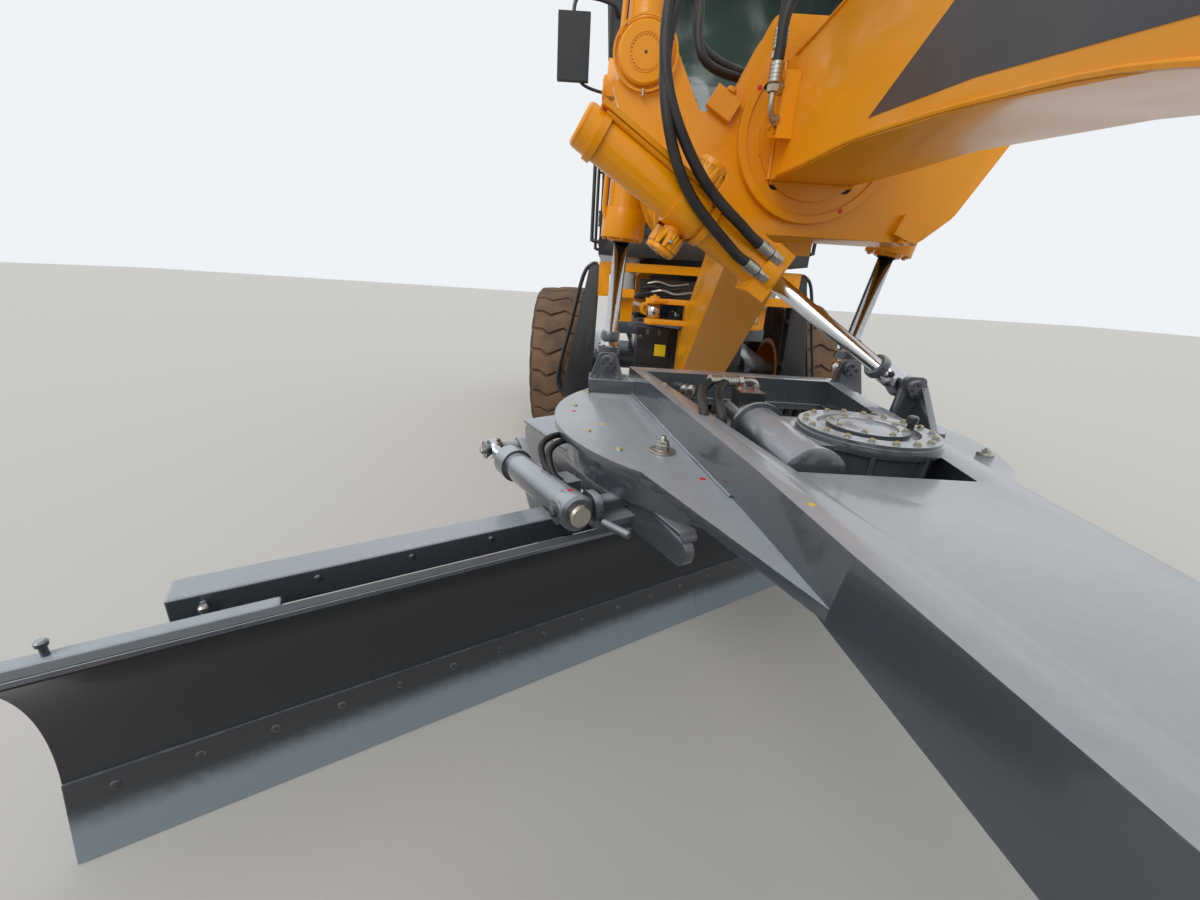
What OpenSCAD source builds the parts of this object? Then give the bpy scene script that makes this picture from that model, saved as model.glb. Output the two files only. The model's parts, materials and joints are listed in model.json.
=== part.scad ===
// Articulated motor grader. Millimetres, +Z up, the machine's nose towards -Y, its left side towards +X.
// Every module draws in machine coordinates, with the front axle at y = 0 and the centre plane at
// x = 0; placed() then brings the middle of the footprint to the origin.

/* [Wheels] */
// Overall diameter of a tyre
tyre_d = 1350; // [1200:10:1500]
// Width of a tyre across its sidewalls
tyre_w = 445; // [400:5:480]
// Width of a tyre's tread
tread_w = 420; // [380:5:430]
// Depth of the tread grooves
groove_depth = 26; // [15:1:32]
// Width of a tread groove
groove_w = 24; // [16:1:34]
// Number of lugs round a tyre
lug_count = 24; // [18:1:28]
// Seat diameter of the rims
rim_d = 635; // [600:5:660]
// Width of the rims between the flanges
rim_w = 356; // [330:2:370]
// Distance between the left and the right wheels' middle planes
track = 2150; // [2100:10:2300]
// Radius of the wheel spindles
spindle_r = 60; // [45:1:70]

/* [Chassis] */
// Distance from the front axle to the middle of the tandem
wheelbase = 6280; // [6200:10:6400]
// Distance between the two axles of the tandem
tandem_pitch = 1540; // [1480:10:1600]
// Distance from the articulation pin to the middle of the tandem
art_back = 1800; // [1780:5:1840]
// Front end of the nose plate, ahead of the front axle
nose_y = 900; // [860:10:1000]
// Rear face of the bumper, behind the tandem's middle
tail_y = 1700; // [1650:10:1800]
// Radius of the articulation pin
art_pin_r = 45; // [35:1:50]
// Width of the front frame's box beam
beam_w = 280; // [240:5:300]
// Half the distance between the rear frame rails' middles
rail_x = 360; // [340:5:380]
// Width of a rear frame rail
rail_w = 120; // [90:5:130]

/* [Cab and hood] */
// Width of the cab
cab_w = 1500; // [1440:10:1560]
// Front face of the cab, behind the articulation pin
cab_front = 80; // [70:5:120]
// Length of the cab at its floor
cab_len = 1420; // [1380:10:1460]
// Height of the cab floor above the ground
cab_floor = 1600; // [1580:5:1620]
// Height of the cab roof above the ground
cab_top = 3340; // [3300:10:3400]
// Thickness of the cab's posts and panels
cab_wall = 55; // [45:1:60]
// Thickness of the cab's glass
glass_t = 8; // [6:1:10]
// Width of the engine hood
hood_w = 1060; // [1000:10:1120]
// Height of the hood's top at its front
hood_top = 2160; // [2100:10:2200]
// Thickness of the hood's panels
hood_wall = 24; // [18:1:30]

/* [Drawbar and circle] */
// Distance from the front axle to the drawbar's ball
ball_y = 480; // [470:5:490]
// Height of the drawbar's ball
ball_z = 950; // [945:1:955]
// Angle by which the drawbar is swung to the machine's right
drawbar_yaw = 1.3; // [1:0.1:1.6]
// Distance from the ball to the circle's centre, as a share of the wheelbase
reach_share = 0.3551; // [0.353:0.0005:0.357]
// Radius of the drawbar's round carrying plate
disc_r = 780; // [770:5:790]
// Outer radius of the circle's ring
ring_r = 735; // [725:5:745]
// Inner radius of the circle's ring
ring_in_r = 610; // [600:5:630]
// Height of the circle's ring
ring_h = 100; // [90:5:105]

/* [Blade] */
// Angle of the blade to the machine's cross axis
blade_angle = 32; // [28:1:36]
// Length of the moldboard
blade_len = 3980; // [3700:10:4100]
// Sideways shift of the moldboard along its rails
blade_shift = -93; // [-150:1:0]
// Height of the moldboard's top lip
blade_h = 620; // [600:5:630]
// Thickness of the moldboard plate
blade_t = 20; // [16:1:22]
// Radius of the moldboard's curve
blade_r = 400; // [380:5:440]
// Height of the bolted cutting edge
edge_h = 200; // [180:5:205]
// Thickness of the cutting edge
edge_t = 19; // [16:1:25]
// Distance between the circle's side arms
arm_x = 650; // [640:5:660]

/* [Saddle and cylinders] */
// Distance from the circle's centre back to the saddle's front plate
saddle_back = 60; // [55:1:65]
// Height of the beam's middle at the saddle
saddle_z = 1900; // [1895:1:1905]
// Half the distance between the lift cylinders' pivots
lift_x = 585; // [580:1:590]
// Height of the lift cylinders' pivots
lift_z = 2090; // [2085:1:2095]
// Outer radius of a lift cylinder's barrel
lift_barrel_r = 74; // [70:1:78]
// Radius of a lift cylinder's rod
lift_rod_r = 30; // [26:1:34]
// Outer radius of the swing cylinder's barrel
swing_barrel_r = 60; // [55:1:64]
// Radius of the swing cylinder's rod
swing_rod_r = 27; // [24:1:30]

/* [Fits] */
// Radial clearance of a pin or a rod in its bore
fit = 0.05; // [0.03:0.01:0.08]
// Gap between pieces that are seated on each other
seat = 0.3; // [0.2:0.05:0.5]

/* [Hidden] */
$fn = 64;

yellow = [0.93, 0.58, 0.05];
slate = [0.17, 0.19, 0.22];
black = [0.08, 0.08, 0.09];
chrome = [0.75, 0.76, 0.78];
rubber = [0.12, 0.11, 0.10];
glass = [0.45, 0.58, 0.55, 0.4];
lamp_white = [0.92, 0.92, 0.88];

left = 1;
right = -1;
tyre_r = tyre_d / 2;
rim_r = rim_d / 2;
wheel_x = track / 2;
middle_y = wheelbase - tandem_pitch / 2;
rear_y = wheelbase + tandem_pitch / 2;
art_y = wheelbase - art_back;
circle_reach = wheelbase * reach_share;
saddle_y = ball_y + circle_reach + saddle_back;

// The circle's centre, in machine coordinates
circle_c = [-circle_reach * sin(drawbar_yaw), ball_y + circle_reach * cos(drawbar_yaw)];

// Front face of the moldboard in the blade's own frame, as [y, z]: edge foot, edge top, lip
edge_foot = [65, 2];
edge_top = [125, edge_h];
lip = [-20, blade_h];

function unit(v) = v / norm(v);
function cross_z(v) = [-v.y, v.x];
// Middle of the arc of radius r from a to b that bulges to the right of the way from a to b
function arc_centre(a, b, r) =
    let (m = (a + b) / 2, h = norm(b - a) / 2)
    m + cross_z(unit(b - a)) * sqrt(r * r - h * h);
function arc_points(a, b, r, n) =
    let (c = arc_centre(a, b, r),
         t0 = atan2(a.y - c.y, a.x - c.x),
         t1 = atan2(b.y - c.y, b.x - c.x),
         d = (t1 - t0 + 540) % 360 - 180)
    [for (i = [0 : n]) c + r * [cos(t0 + d * i / n), sin(t0 + d * i / n)]];
// A corner b between a and c, rounded to radius r in a few steps
function corner(a, b, c, r, n = 4) =
    r == 0 ? [b] :
    let (u = unit(a - b), v = unit(c - b), half = acos(u * v) / 2,
         p = b + u * r / tan(half), q = b + v * r / tan(half),
         o = b + unit(u + v) * r / sin(half),
         t0 = atan2(p.y - o.y, p.x - o.x), t1 = atan2(q.y - o.y, q.x - o.x),
         d = (t1 - t0 + 540) % 360 - 180)
    [for (i = [0 : n]) o + r * [cos(t0 + d * i / n), sin(t0 + d * i / n)]];
// An outline [[x, y, r], ...] with each corner rounded to its own radius
function rounded(p) =
    let (n = len(p))
    [for (i = [0 : n - 1])
        let (a = p[(i + n - 1) % n], b = p[i], c = p[(i + 1) % n])
        each corner([a.x, a.y], [b.x, b.y], [c.x, c.y], b.z)];

blade_back_y = arc_centre(edge_top, lip, blade_r).x + blade_r + blade_t;
blade_min_x = circle_c.x + (blade_shift - blade_len / 2) * cos(blade_angle)
    - blade_back_y * sin(blade_angle);
blade_max_x = circle_c.x + (blade_shift + blade_len / 2) * cos(blade_angle)
    - lip.x * sin(blade_angle);
origin = [(blade_min_x + blade_max_x) / 2, (wheelbase + tail_y - nose_y) / 2, 0];

module placed() { translate(-origin) children(); }
module side(s) { if (s == left) children(); else mirror([1, 0, 0]) children(); }
// Prism of a [y, z] outline from x0 to x1
module across_x(p, x0, x1) {
    translate([x0, 0, 0]) rotate([90, 0, 90]) linear_extrude(x1 - x0) polygon(p);
}
// Prism of an [x, z] outline from y0 to y1
module along_y(p, y0, y1) {
    translate([0, y1, 0]) rotate([90, 0, 0]) linear_extrude(y1 - y0) polygon(p);
}
// Prism of an [x, y] outline from z0 to z1
module up_z(p, z0, z1) { translate([0, 0, z0]) linear_extrude(z1 - z0) polygon(p); }
module box(a, b) { translate(a) cube(b - a); }
module disc_x(r, x0, x1) { translate([x0, 0, 0]) rotate([0, 90, 0]) cylinder(r = r, h = x1 - x0); }
module disc_y(r, y0, y1) { translate([0, y1, 0]) rotate([90, 0, 0]) cylinder(r = r, h = y1 - y0); }
module disc_z(r, z0, z1) { translate([0, 0, z0]) cylinder(r = r, h = z1 - z0); }
// Turns children so that +Z points along d
module aimed(d) {
    rotate([0, acos(d.z / norm(d)), atan2(d.y, d.x)]) children();
}
module rod_between(a, b, r) { translate(a) aimed(b - a) cylinder(r = r, h = norm(b - a)); }

// WHEELS

bead_r = rim_r + 3.5;
shoulder_r = tyre_r - 34;
tyre_outline = [
    [bead_r, -rim_w / 2], [bead_r + 32, -rim_w / 2], [bead_r + 150, -tyre_w / 2],
    [shoulder_r - 90, -tyre_w / 2], [shoulder_r, -tread_w / 2], [tyre_r - 8, -tread_w / 2 + 22],
    [tyre_r, -tread_w / 4], [tyre_r, tread_w / 4], [tyre_r - 8, tread_w / 2 - 22],
    [shoulder_r, tread_w / 2], [shoulder_r - 90, tyre_w / 2], [bead_r + 150, tyre_w / 2],
    [bead_r + 32, rim_w / 2], [bead_r, rim_w / 2],
];
// Middle line of a groove over the tread, as shares of the half width and of the wave's height
groove_line = [[-1.1, -0.35], [-0.6, -0.35], [-0.28, 0.6], [0.28, -0.6], [0.6, 0.35], [1.1, 0.35]];
groove_wave = 46;

module tyre_at(s, y) {
    color(rubber) translate([s * wheel_x, y, tyre_r]) rotate([0, 90 * s, 0]) difference() {
        rotate_extrude($fn = 96) polygon(tyre_outline);
        for (i = [0 : lug_count - 1]) rotate([0, 0, i * 360 / lug_count])
            translate([tyre_r - groove_depth, 0, 0]) rotate([0, 90, 0]) rotate([0, 0, 90])
                linear_extrude(groove_depth * 2) polygon(concat(
                    [for (g = groove_line) [g.y * groove_wave - groove_w / 2, g.x * tread_w / 2]],
                    [for (k = [len(groove_line) - 1 : -1 : 0])
                        [groove_line[k].y * groove_wave + groove_w / 2,
                         groove_line[k].x * tread_w / 2]]));
    }
}

rim_seat_r = bead_r - seat;
flange = rim_w / 2 + seat;
disc_a = 70;
hub_r = 150;
hub_in = -60;
hub_out = 120;
rim_outline = [
    [0, hub_in], [hub_r - 20, hub_in], [hub_r, hub_in + 30], [hub_r, disc_a],
    [rim_seat_r - 70, disc_a - 34], [rim_seat_r - 18, disc_a - 34], [rim_seat_r - 18, -flange - 12],
    [rim_seat_r + 26, -flange - 12], [rim_seat_r + 26, -flange], [rim_seat_r, -flange],
    [rim_seat_r, flange], [rim_seat_r + 26, flange], [rim_seat_r + 26, flange + 12],
    [rim_seat_r - 18, flange + 12], [rim_seat_r - 18, disc_a - 14], [rim_seat_r - 60, disc_a - 14],
    [hub_r, disc_a + 20], [hub_r, hub_out - 30], [hub_r - 40, hub_out], [70, hub_out],
    [60, hub_out + 24], [0, hub_out + 24],
];
module rim_at(s, y) {
    color(yellow) translate([s * wheel_x, y, tyre_r]) side(s) rotate([0, 90, 0]) difference() {
        rotate_extrude() polygon(rim_outline);
        translate([0, 0, hub_in - 1]) cylinder(r = spindle_r + fit, h = hub_out - hub_in - 19);
    }
}

// REAR FRAME

pin_top = 1180;
pin_low = 690;
rail_low = 860;
rail_top = 1140;
tail = wheelbase + tail_y;
hinge_plate_r = 130;
hinge_plates = [[705, 745], [1125, 1165]];
module rear_frame() {
    color(slate) {
        for (s = [left, right]) side(s)
            box([rail_x - rail_w / 2, art_y + 250, rail_low], [rail_x + rail_w / 2, tail - 179, rail_top]);
        for (p = hinge_plates) {
            translate([0, art_y, 0]) disc_z(hinge_plate_r, p[0], p[1]);
            up_z([[-hinge_plate_r, art_y], [hinge_plate_r, art_y], [rail_x + rail_w / 2, art_y + 330],
                  [rail_x + rail_w / 2, art_y + 480], [-rail_x - rail_w / 2, art_y + 480],
                  [-rail_x - rail_w / 2, art_y + 330]], p[0], p[1]);
        }
        box([-rail_x - rail_w / 2, art_y + 330, hinge_plates[0][0]],
            [rail_x + rail_w / 2, art_y + 370, hinge_plates[1][1]]);
        for (y = [middle_y + 300, wheelbase + 240, tail - 420])
            box([-rail_x, y, rail_low + 30], [rail_x, y + 100, rail_top - 60]);
        translate([0, art_y, 0]) {
            disc_z(art_pin_r, pin_low, pin_top);
            disc_z(art_pin_r + 20, pin_top, pin_top + 16);
        }
        // Feet of the cab's front posts, and brackets of the articulation cylinders
        for (s = [left, right]) side(s)
            box([rail_x + rail_w / 2 - 1, cab_y + 160, rail_top - 90], [570, cab_y + 280, rail_top]);
        for (s = [left, right]) side(s) for (z = [hinge_z - 82, hinge_z + 57])
            up_z(rounded([[hinge_base_x - 60, hinge_base_y - 55, 50], [hinge_base_x + 60, hinge_base_y - 55, 50],
                  [hinge_base_x + 60, hinge_base_y + 150, 0], [rail_x - rail_w / 2, hinge_base_y + 150, 0]]),
                 z, z + 25);
        for (s = [left, right]) side(s) translate([hinge_base_x, hinge_base_y, 0])
            disc_z(hinge_pin_r, hinge_z - 82, hinge_z + 82);
        for (s = [left, right]) side(s)
            box([rail_x - rail_w / 2, hinge_base_y + 90, rail_top - 1],
                [rail_x + rail_w / 2, hinge_base_y + 150, hinge_z + 82]);
        // Transmission under the cab, fuel tank and bumper
        across_x(rounded([[art_y + 620, 640, 60], [art_y + 1250, 600, 60], [art_y + 1250, 1080, 40],
                          [art_y + 620, 1080, 40]]), -rail_x + rail_w / 2 - 1, rail_x - rail_w / 2 + 1);
        across_x(rounded([[tail - 180, 780, 50], [tail, 820, 60], [tail, 1240, 60], [tail - 180, 1240, 0]]),
                 -hood_w / 2 - 60, hood_w / 2 + 60);
        // Towing clevis under the bumper
        difference() {
            union() {
                box([-80, tail - 200, hitch_z[0]], [80, tail - 150, 820]);
                for (z = [hitch_z[0], hitch_z[1] - 32])
                    up_z(rounded([[-80, tail - 160, 0], [80, tail - 160, 0], [80, tail - 5, 60], [-80, tail - 5, 60]]),
                         z, z + 32);
            }
            translate([0, tail - 70, 0]) disc_z(hitch_r, hitch_z[0] - 1, hitch_z[1] + 1);
        }
    }
}
hitch_z = [640, 750];
hitch_r = 26;

// Rubber-mounted yellow frame that carries the cab
support_low = 1320;
module cab_support() {
    color(yellow) {
        box([-300, cab_y + 60, cab_floor - 100], [300, cab_y + 180, cab_floor - 40]);
        for (s = [left, right]) side(s) {
            box([300, cab_y + 60, cab_floor - 100], [cab_w / 2 - 10, cab_y + 180, cab_floor - 40]);
            box([300, cab_y + cab_len - 200, cab_floor - 100],
                [cab_w / 2 - 10, cab_y + cab_len - 80, cab_floor - 40]);
            box([cab_w / 2 - 90, cab_y + 60, support_low], [cab_w / 2 - 10, cab_y + 180, cab_floor - 100]);
            box([470, cab_y + 60, support_low], [cab_w / 2 - 90, cab_y + 180, support_low + 60]);
            box([rail_x - rail_w / 2, cab_y + 900, rail_top + seat],
                [rail_x + rail_w / 2, cab_y + 1020, cab_floor - 99]);
            box([470, cab_y + 160, rail_top + seat], [560, cab_y + 260, cab_floor - 99]);
            box([rail_x - rail_w / 2, cab_y + 60, cab_floor - 100],
                [rail_x + rail_w / 2, cab_y + cab_len - 80, cab_floor - 40]);
        }
    }
    color(black) for (s = [left, right]) side(s) for (y = [cab_y + 120, cab_y + cab_len - 140])
        translate([500, y, 0]) disc_z(55, cab_floor - 40, cab_floor - seat);
}

// Axle housing and the two tandem cases
case_x = 735;
case_w = 190;
module rear_axle() {
    color(slate) {
        translate([0, wheelbase, tyre_r]) disc_x(150, -case_x, case_x);
        translate([0, wheelbase, tyre_r]) disc_x(235, -170, 170);
        for (s = [left, right]) side(s) {
            box([rail_x - 55, wheelbase - 150, tyre_r + 60], [rail_x + 55, wheelbase + 150, rail_low]);
            across_x(rounded([[middle_y - 210, tyre_r - 150, 140], [rear_y + 210, tyre_r - 150, 140],
                              [rear_y + 210, tyre_r + 150, 140], [wheelbase, tyre_r + 230, 60],
                              [middle_y - 210, tyre_r + 150, 140]]),
                     case_x - case_w / 2, case_x + case_w / 2);
            for (y = [middle_y, rear_y]) translate([0, y, tyre_r]) {
                disc_x(125, case_x, wheel_x + hub_in - 25);
                disc_x(spindle_r, case_x, wheel_x + hub_out - 30);
            }
        }
    }
}

hood_y = wheelbase - 190;
hood_end = tail - 185;
hood_low = rail_top;
hood_profile = [
    [hood_y, hood_low, 0], [hood_end, hood_low, 0], [hood_end, 1780, 90], [hood_end - 200, 1990, 120],
    [hood_y + 420, hood_top, 80], [hood_y, hood_top, 0],
];
module engine_hood() {
    inner = [for (p = rounded(hood_profile)) [p.x, p.y]];
    color(yellow) difference() {
        across_x(inner, -hood_w / 2, hood_w / 2);
        across_x([[hood_y - 1, hood_low - 1], [hood_end - hood_wall, hood_low - 1],
                  [hood_end - hood_wall, 1750], [hood_end - 220, 1950],
                  [hood_y + 410, hood_top - hood_wall], [hood_y - 1, hood_top - hood_wall]],
                 -hood_w / 2 + hood_wall, hood_w / 2 - hood_wall);
        for (i = [0 : 8]) box([-hood_w, hood_y + 420, 1320 + i * 52], [hood_w, hood_y + 1120, 1350 + i * 52]);
        for (i = [0 : 9]) box([-hood_w / 2 + 120, hood_end - 60, 1260 + i * 46],
                              [hood_w / 2 - 120, hood_end + 60, 1288 + i * 46]);
    }
}
module engine_block() {
    color(slate) box([-300, hood_y + 260, rail_top - 60 + seat], [300, hood_y + 1260, 1760]);
}
module exhaust_stack() {
    color(black) translate([-220, hood_y + 260, 0]) {
        disc_z(70, hood_top + seat, 2560);
        disc_z(48, 2560, 2790);
    }
}

// CAB

cab_y = art_y + cab_front;
cab_back = cab_y + cab_len;
roof_h = 110;
door_y0 = cab_y + 150;
door_y1 = cab_y + 900;
door_z0 = cab_floor + 50;
door_z1 = cab_top - roof_h - 90;
door_gap = 6;
sill = 420;
module cab_shell() {
    color(black) difference() {
        union() {
            across_x(rounded([[cab_y, cab_floor, 0], [cab_back, cab_floor, 0], [cab_back, cab_top - roof_h + 1, 0],
                              [cab_y, cab_top - roof_h + 1, 0]]), -cab_w / 2, cab_w / 2);
            up_z(rounded([[-cab_w / 2 - 40, cab_y - 130, 120], [cab_w / 2 + 40, cab_y - 130, 120],
                          [cab_w / 2 + 40, cab_back + 30, 120], [-cab_w / 2 - 40, cab_back + 30, 120]]),
                 cab_top - roof_h, cab_top);
        }
        box([-cab_w / 2 + cab_wall, cab_y + cab_wall, cab_floor + cab_wall],
            [cab_w / 2 - cab_wall, cab_back - cab_wall, cab_top - roof_h - cab_wall]);
        // Door openings
        box([-cab_w, door_y0, door_z0], [cab_w, door_y1, door_z1]);
        // Side windows behind the doors
        box([-cab_w, door_y1 + 90, cab_floor + sill], [cab_w, cab_back - 90, door_z1]);
        // Windscreen and rear window
        box([-cab_w / 2 + 90, cab_y - 10, cab_floor + 120], [cab_w / 2 - 90, cab_y + cab_wall + 10, door_z1]);
        box([-cab_w / 2 + 110, cab_back - cab_wall - 10, cab_floor + sill],
            [cab_w / 2 - 110, cab_back + 10, door_z1]);
    }
}
module cab_glass() {
    color(glass) {
        box([-cab_w / 2 + 90 + seat, cab_y + 12, cab_floor + 120 + seat],
            [cab_w / 2 - 90 - seat, cab_y + 12 + glass_t, door_z1 - seat]);
        box([-cab_w / 2 + 110 + seat, cab_back - 20, cab_floor + sill + seat],
            [cab_w / 2 - 110 - seat, cab_back - 20 + glass_t, door_z1 - seat]);
        for (s = [left, right]) side(s)
            box([cab_w / 2 - 20, door_y1 + 90 + seat, cab_floor + sill + seat],
                [cab_w / 2 - 20 + glass_t, cab_back - 90 - seat, door_z1 - seat]);
    }
}
module door(s) {
    color(black) side(s) {
        difference() {
            box([cab_w / 2 - 45, door_y0 + door_gap, door_z0 + door_gap],
                [cab_w / 2, door_y1 - door_gap, door_z1 - door_gap]);
            box([cab_w / 2 - 60, door_y0 + door_gap + 60, door_z0 + 110],
                [cab_w / 2 + 20, door_y1 - door_gap - 60, door_z1 - door_gap - 60]);
        }
        // Barrel hinges and a pull handle
        for (z = [door_z0 + 260, door_z1 - 300])
            translate([cab_w / 2 + 22, door_y1 + 4, 0]) difference() {
                union() {
                    disc_z(18, z, z + 60);
                    box([-22, -44, z], [0, -12, z + 60]);
                }
                disc_z(9 + fit, z - 1, z + 61);
            }
        rod_between([cab_w / 2 + 30, door_y0 + 60, door_z0 + 500], [cab_w / 2 + 30, door_y0 + 60, door_z0 + 720], 9);
        for (z = [door_z0 + 505, door_z0 + 715])
            rod_between([cab_w / 2 - 5, door_y0 + 60, z], [cab_w / 2 + 30, door_y0 + 60, z], 8);
    }
}
module door_hinge_pins() {
    color(black) for (s = [left, right]) side(s) for (z = [door_z0 + 260, door_z1 - 300])
        translate([cab_w / 2 + 22, door_y1 + 4, 0]) {
            disc_z(9, z - 30, z + 90);
            for (k = [z - 32, z + 66]) {
                disc_z(18, k, k + 26);
                box([-23, 0, k], [0, 44, k + 26]);
            }
        }
}
module door_glass(s) {
    color(glass) side(s)
        box([cab_w / 2 - 30, door_y0 + door_gap + 60 + seat, door_z0 + 110 + seat],
            [cab_w / 2 - 30 + glass_t, door_y1 - door_gap - 60 - seat, door_z1 - door_gap - 60 - seat]);
}
seat_y = cab_y + 820;
module seat_cushion() {
    color(black) {
        across_x(rounded([[seat_y - 260, cab_floor + 440, 50], [seat_y + 240, cab_floor + 420, 50],
                          [seat_y + 240, cab_floor + 540, 50], [seat_y - 260, cab_floor + 550, 50]]), -250, 250);
        across_x(rounded([[seat_y + 190, cab_floor + 470, 20], [seat_y + 310, cab_floor + 470, 20],
                          [seat_y + 400, cab_floor + 1180, 50], [seat_y + 290, cab_floor + 1180, 50]]), -240, 240);
    }
}
module console() {
    color(slate) {
        box([-190, seat_y - 180, cab_floor + cab_wall], [190, seat_y + 180, cab_floor + 422]);
        box([-60, cab_y + 170, cab_floor + cab_wall], [60, seat_y - 179, cab_floor + cab_wall + 30]);
        across_x(rounded([[cab_y + 180, cab_floor + cab_wall + 1, 0], [cab_y + 300, cab_floor + cab_wall + 1, 0],
                          [cab_y + 400, cab_floor + 740, 30], [cab_y + 300, cab_floor + 780, 30]]), -60, 60);
        translate([0, cab_y + 360, cab_floor + 800]) rotate([-22, 0, 0]) {
            rotate_extrude() polygon([[176, -8], [184, -14], [196, -14], [204, -8], [204, 8], [196, 14],
                                      [184, 14], [176, 8]]);
            disc_z(45, -60, 12);
            for (a = [30, 150, 270]) rotate([0, 0, a]) box([0, -12, -6], [190, 12, 6]);
        }
    }
}
ladder_x = cab_w / 2 - 10 + seat;
ladder_y0 = cab_y + 125;
ladder_y1 = cab_y + 255;
module ladders() {
    color(black) for (s = [left, right]) side(s) {
        for (y = [ladder_y0, ladder_y1 - 14])
            along_y(rounded([[cab_w / 2 + 10, 520, 20], [cab_w / 2 + 250, 520, 20],
                             [cab_w / 2 + 60, cab_floor - 60, 20], [ladder_x, cab_floor - 60, 0],
                             [ladder_x, support_low, 0]]), y, y + 14);
        for (i = [0 : 2])
            box([ladder_x + 5, ladder_y0, 540 + i * 330], [cab_w / 2 + 240 - i * 62, ladder_y1, 562 + i * 330]);
    }
}
module rear_lamps() {
    color(lamp_white) for (s = [left, right]) side(s)
        box([hood_w / 2 - 130, tail + seat, 1060], [hood_w / 2 + 30, tail + 26, 1150]);
}

// ARTICULATION CYLINDERS

hinge_x = 340;
hinge_z = 1250;
hinge_front_y = art_y - 160;
hinge_base_y = art_y + 760;
hinge_base_x = 400;
hinge_barrel_r = 50;
hinge_rod_r = 25;
hinge_pin_r = 20;
hinge_a = [hinge_base_x, hinge_base_y, hinge_z];
hinge_b = [hinge_x, hinge_front_y, hinge_z];
hinge_l = norm(hinge_b - hinge_a);
module hinge_barrel(s) {
    color(yellow) side(s) difference() {
        union() {
            rod_between(hinge_a, hinge_a + unit(hinge_b - hinge_a) * (hinge_l - 340), hinge_barrel_r);
            translate(hinge_a) disc_z(52, -57 + seat, 57 - seat);
        }
        translate(hinge_a) disc_z(hinge_pin_r + fit, -60, 60);
        rod_between(hinge_a + unit(hinge_b - hinge_a) * 60, hinge_b, hinge_rod_r + fit);
    }
}
module hinge_rod(s) {
    color(chrome) side(s) {
        rod_between(hinge_a + unit(hinge_b - hinge_a) * 330, hinge_b, hinge_rod_r);
        translate(hinge_b) disc_z(44, -50 + seat, 50 - seat);
    }
}

// FRONT FRAME

// Gooseneck sections: [y, underside z, height]
beam_rows = [
    [-700, 985, 330], [-250, 985, 380], [150, 1040, 400], [600, 1215, 380], [1000, 1420, 360],
    [saddle_y - 1290, 1618, 345], [saddle_y - 980, 1678, 340], [saddle_y - 610, 1726, 335],
    [saddle_y - 310, 1740, 332], [saddle_y - 20, 1761, 330],
];
beam_top = [for (r = beam_rows) [r[0], r[1] + r[2]]];
column_low = [[saddle_y + 190, 1720], [art_y - 240, 750]];
boss_r = 110;
module front_frame() {
    color(yellow) {
        across_x(concat([for (r = beam_rows) [r[0], r[1]]],
                        [for (k = [len(beam_rows) - 1 : -1 : 0]) beam_top[k]]),
                 -beam_w / 2, beam_w / 2);
        // Flange against the saddle, and the round tube on which the saddle is clamped
        translate([0, 0, saddle_z]) {
            disc_y(262, saddle_y - 22, saddle_y - seat);
            disc_y(tube_r, saddle_y - 30, saddle_y + 220);
        }
        // Column down to the articulation
        across_x(rounded([[saddle_y + 195, 1700, 0], [column_low[0].x, column_low[0].y, 60],
                          [column_low[1].x, column_low[1].y, 40], [art_y - 50, 750, 0], [art_y - 50, 1120, 0],
                          [art_y - 150, 1120, 0], [art_y - 240, 1210, 60], [saddle_y + 300, 2095, 60],
                          [saddle_y + 195, 2095, 0]]),
                 -beam_w / 2, beam_w / 2);
        difference() {
            union() {
                translate([0, art_y, 0]) disc_z(boss_r, 745 + seat, 1125 - seat);
                box([-90, art_y - 100, 745 + seat], [90, art_y, 1125 - seat]);
            }
            translate([0, art_y, 0]) disc_z(art_pin_r + fit, 700, 1200);
        }
        // Root and ears of the articulation cylinders
        across_x(rounded([[hinge_front_y - 160, 1150, 0], [hinge_front_y - 30, 1150, 0],
                          [hinge_front_y - 30, hinge_z + 84, 30], [hinge_front_y - 160, hinge_z + 84, 0]]),
                 -beam_w / 2, beam_w / 2);
        for (s = [left, right]) side(s) for (z = [hinge_z - 84, hinge_z + 50]) {
            up_z([[beam_w / 2 - 1, hinge_front_y - 110], [hinge_x, hinge_front_y - 62],
                  [hinge_x, hinge_front_y + 62], [beam_w / 2 - 1, hinge_front_y - 35]], z, z + 34);
            translate([hinge_x, hinge_front_y, 0]) disc_z(62, z, z + 34);
        }
        // Nose plate and bolster over the axle
        difference() {
            box([-260, -nose_y, 760], [260, -nose_y + 40, 1330]);
            for (x = [-nose_hole.x, nose_hole.x], z = [1045 - nose_hole.y, 1045 + nose_hole.y])
                translate([x, 0, z]) disc_y(13, -nose_y - 1, -nose_y + 41);
        }
        across_x([[-nose_y + 39, 985], [-699, 985], [-699, 1315], [-nose_y + 39, 1315]], -beam_w / 2, beam_w / 2);
        for (y = [-230, 170]) difference() {
            along_y(rounded([[-190, 1060, 0], [-110, 780, 50], [110, 780, 50], [190, 1060, 0]]), y, y + 60);
            translate([0, 0, axle_z + 140]) disc_y(40 + fit, y - 1, y + 61);
        }
        // Cheeks that hold the drawbar's ball
        for (s = [left, right]) side(s) difference() {
            across_x(rounded([[ball_y - 75, ball_z - 75, 60], [ball_y + 75, ball_z - 75, 60],
                              [ball_y + 100, 1260, 0], [ball_y - 130, 1190, 0]]), cheek_x, cheek_x + 30);
            translate([0, ball_y, ball_z]) disc_x(cross_r + fit, cheek_x - 1, cheek_x + 31);
        }
    }
}
nose_hole = [200, 210];
cheek_x = 104;
cross_r = 40;
tube_r = 195;
axle_z = tyre_r + 5;
lamp_y = [-640, -590];
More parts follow.
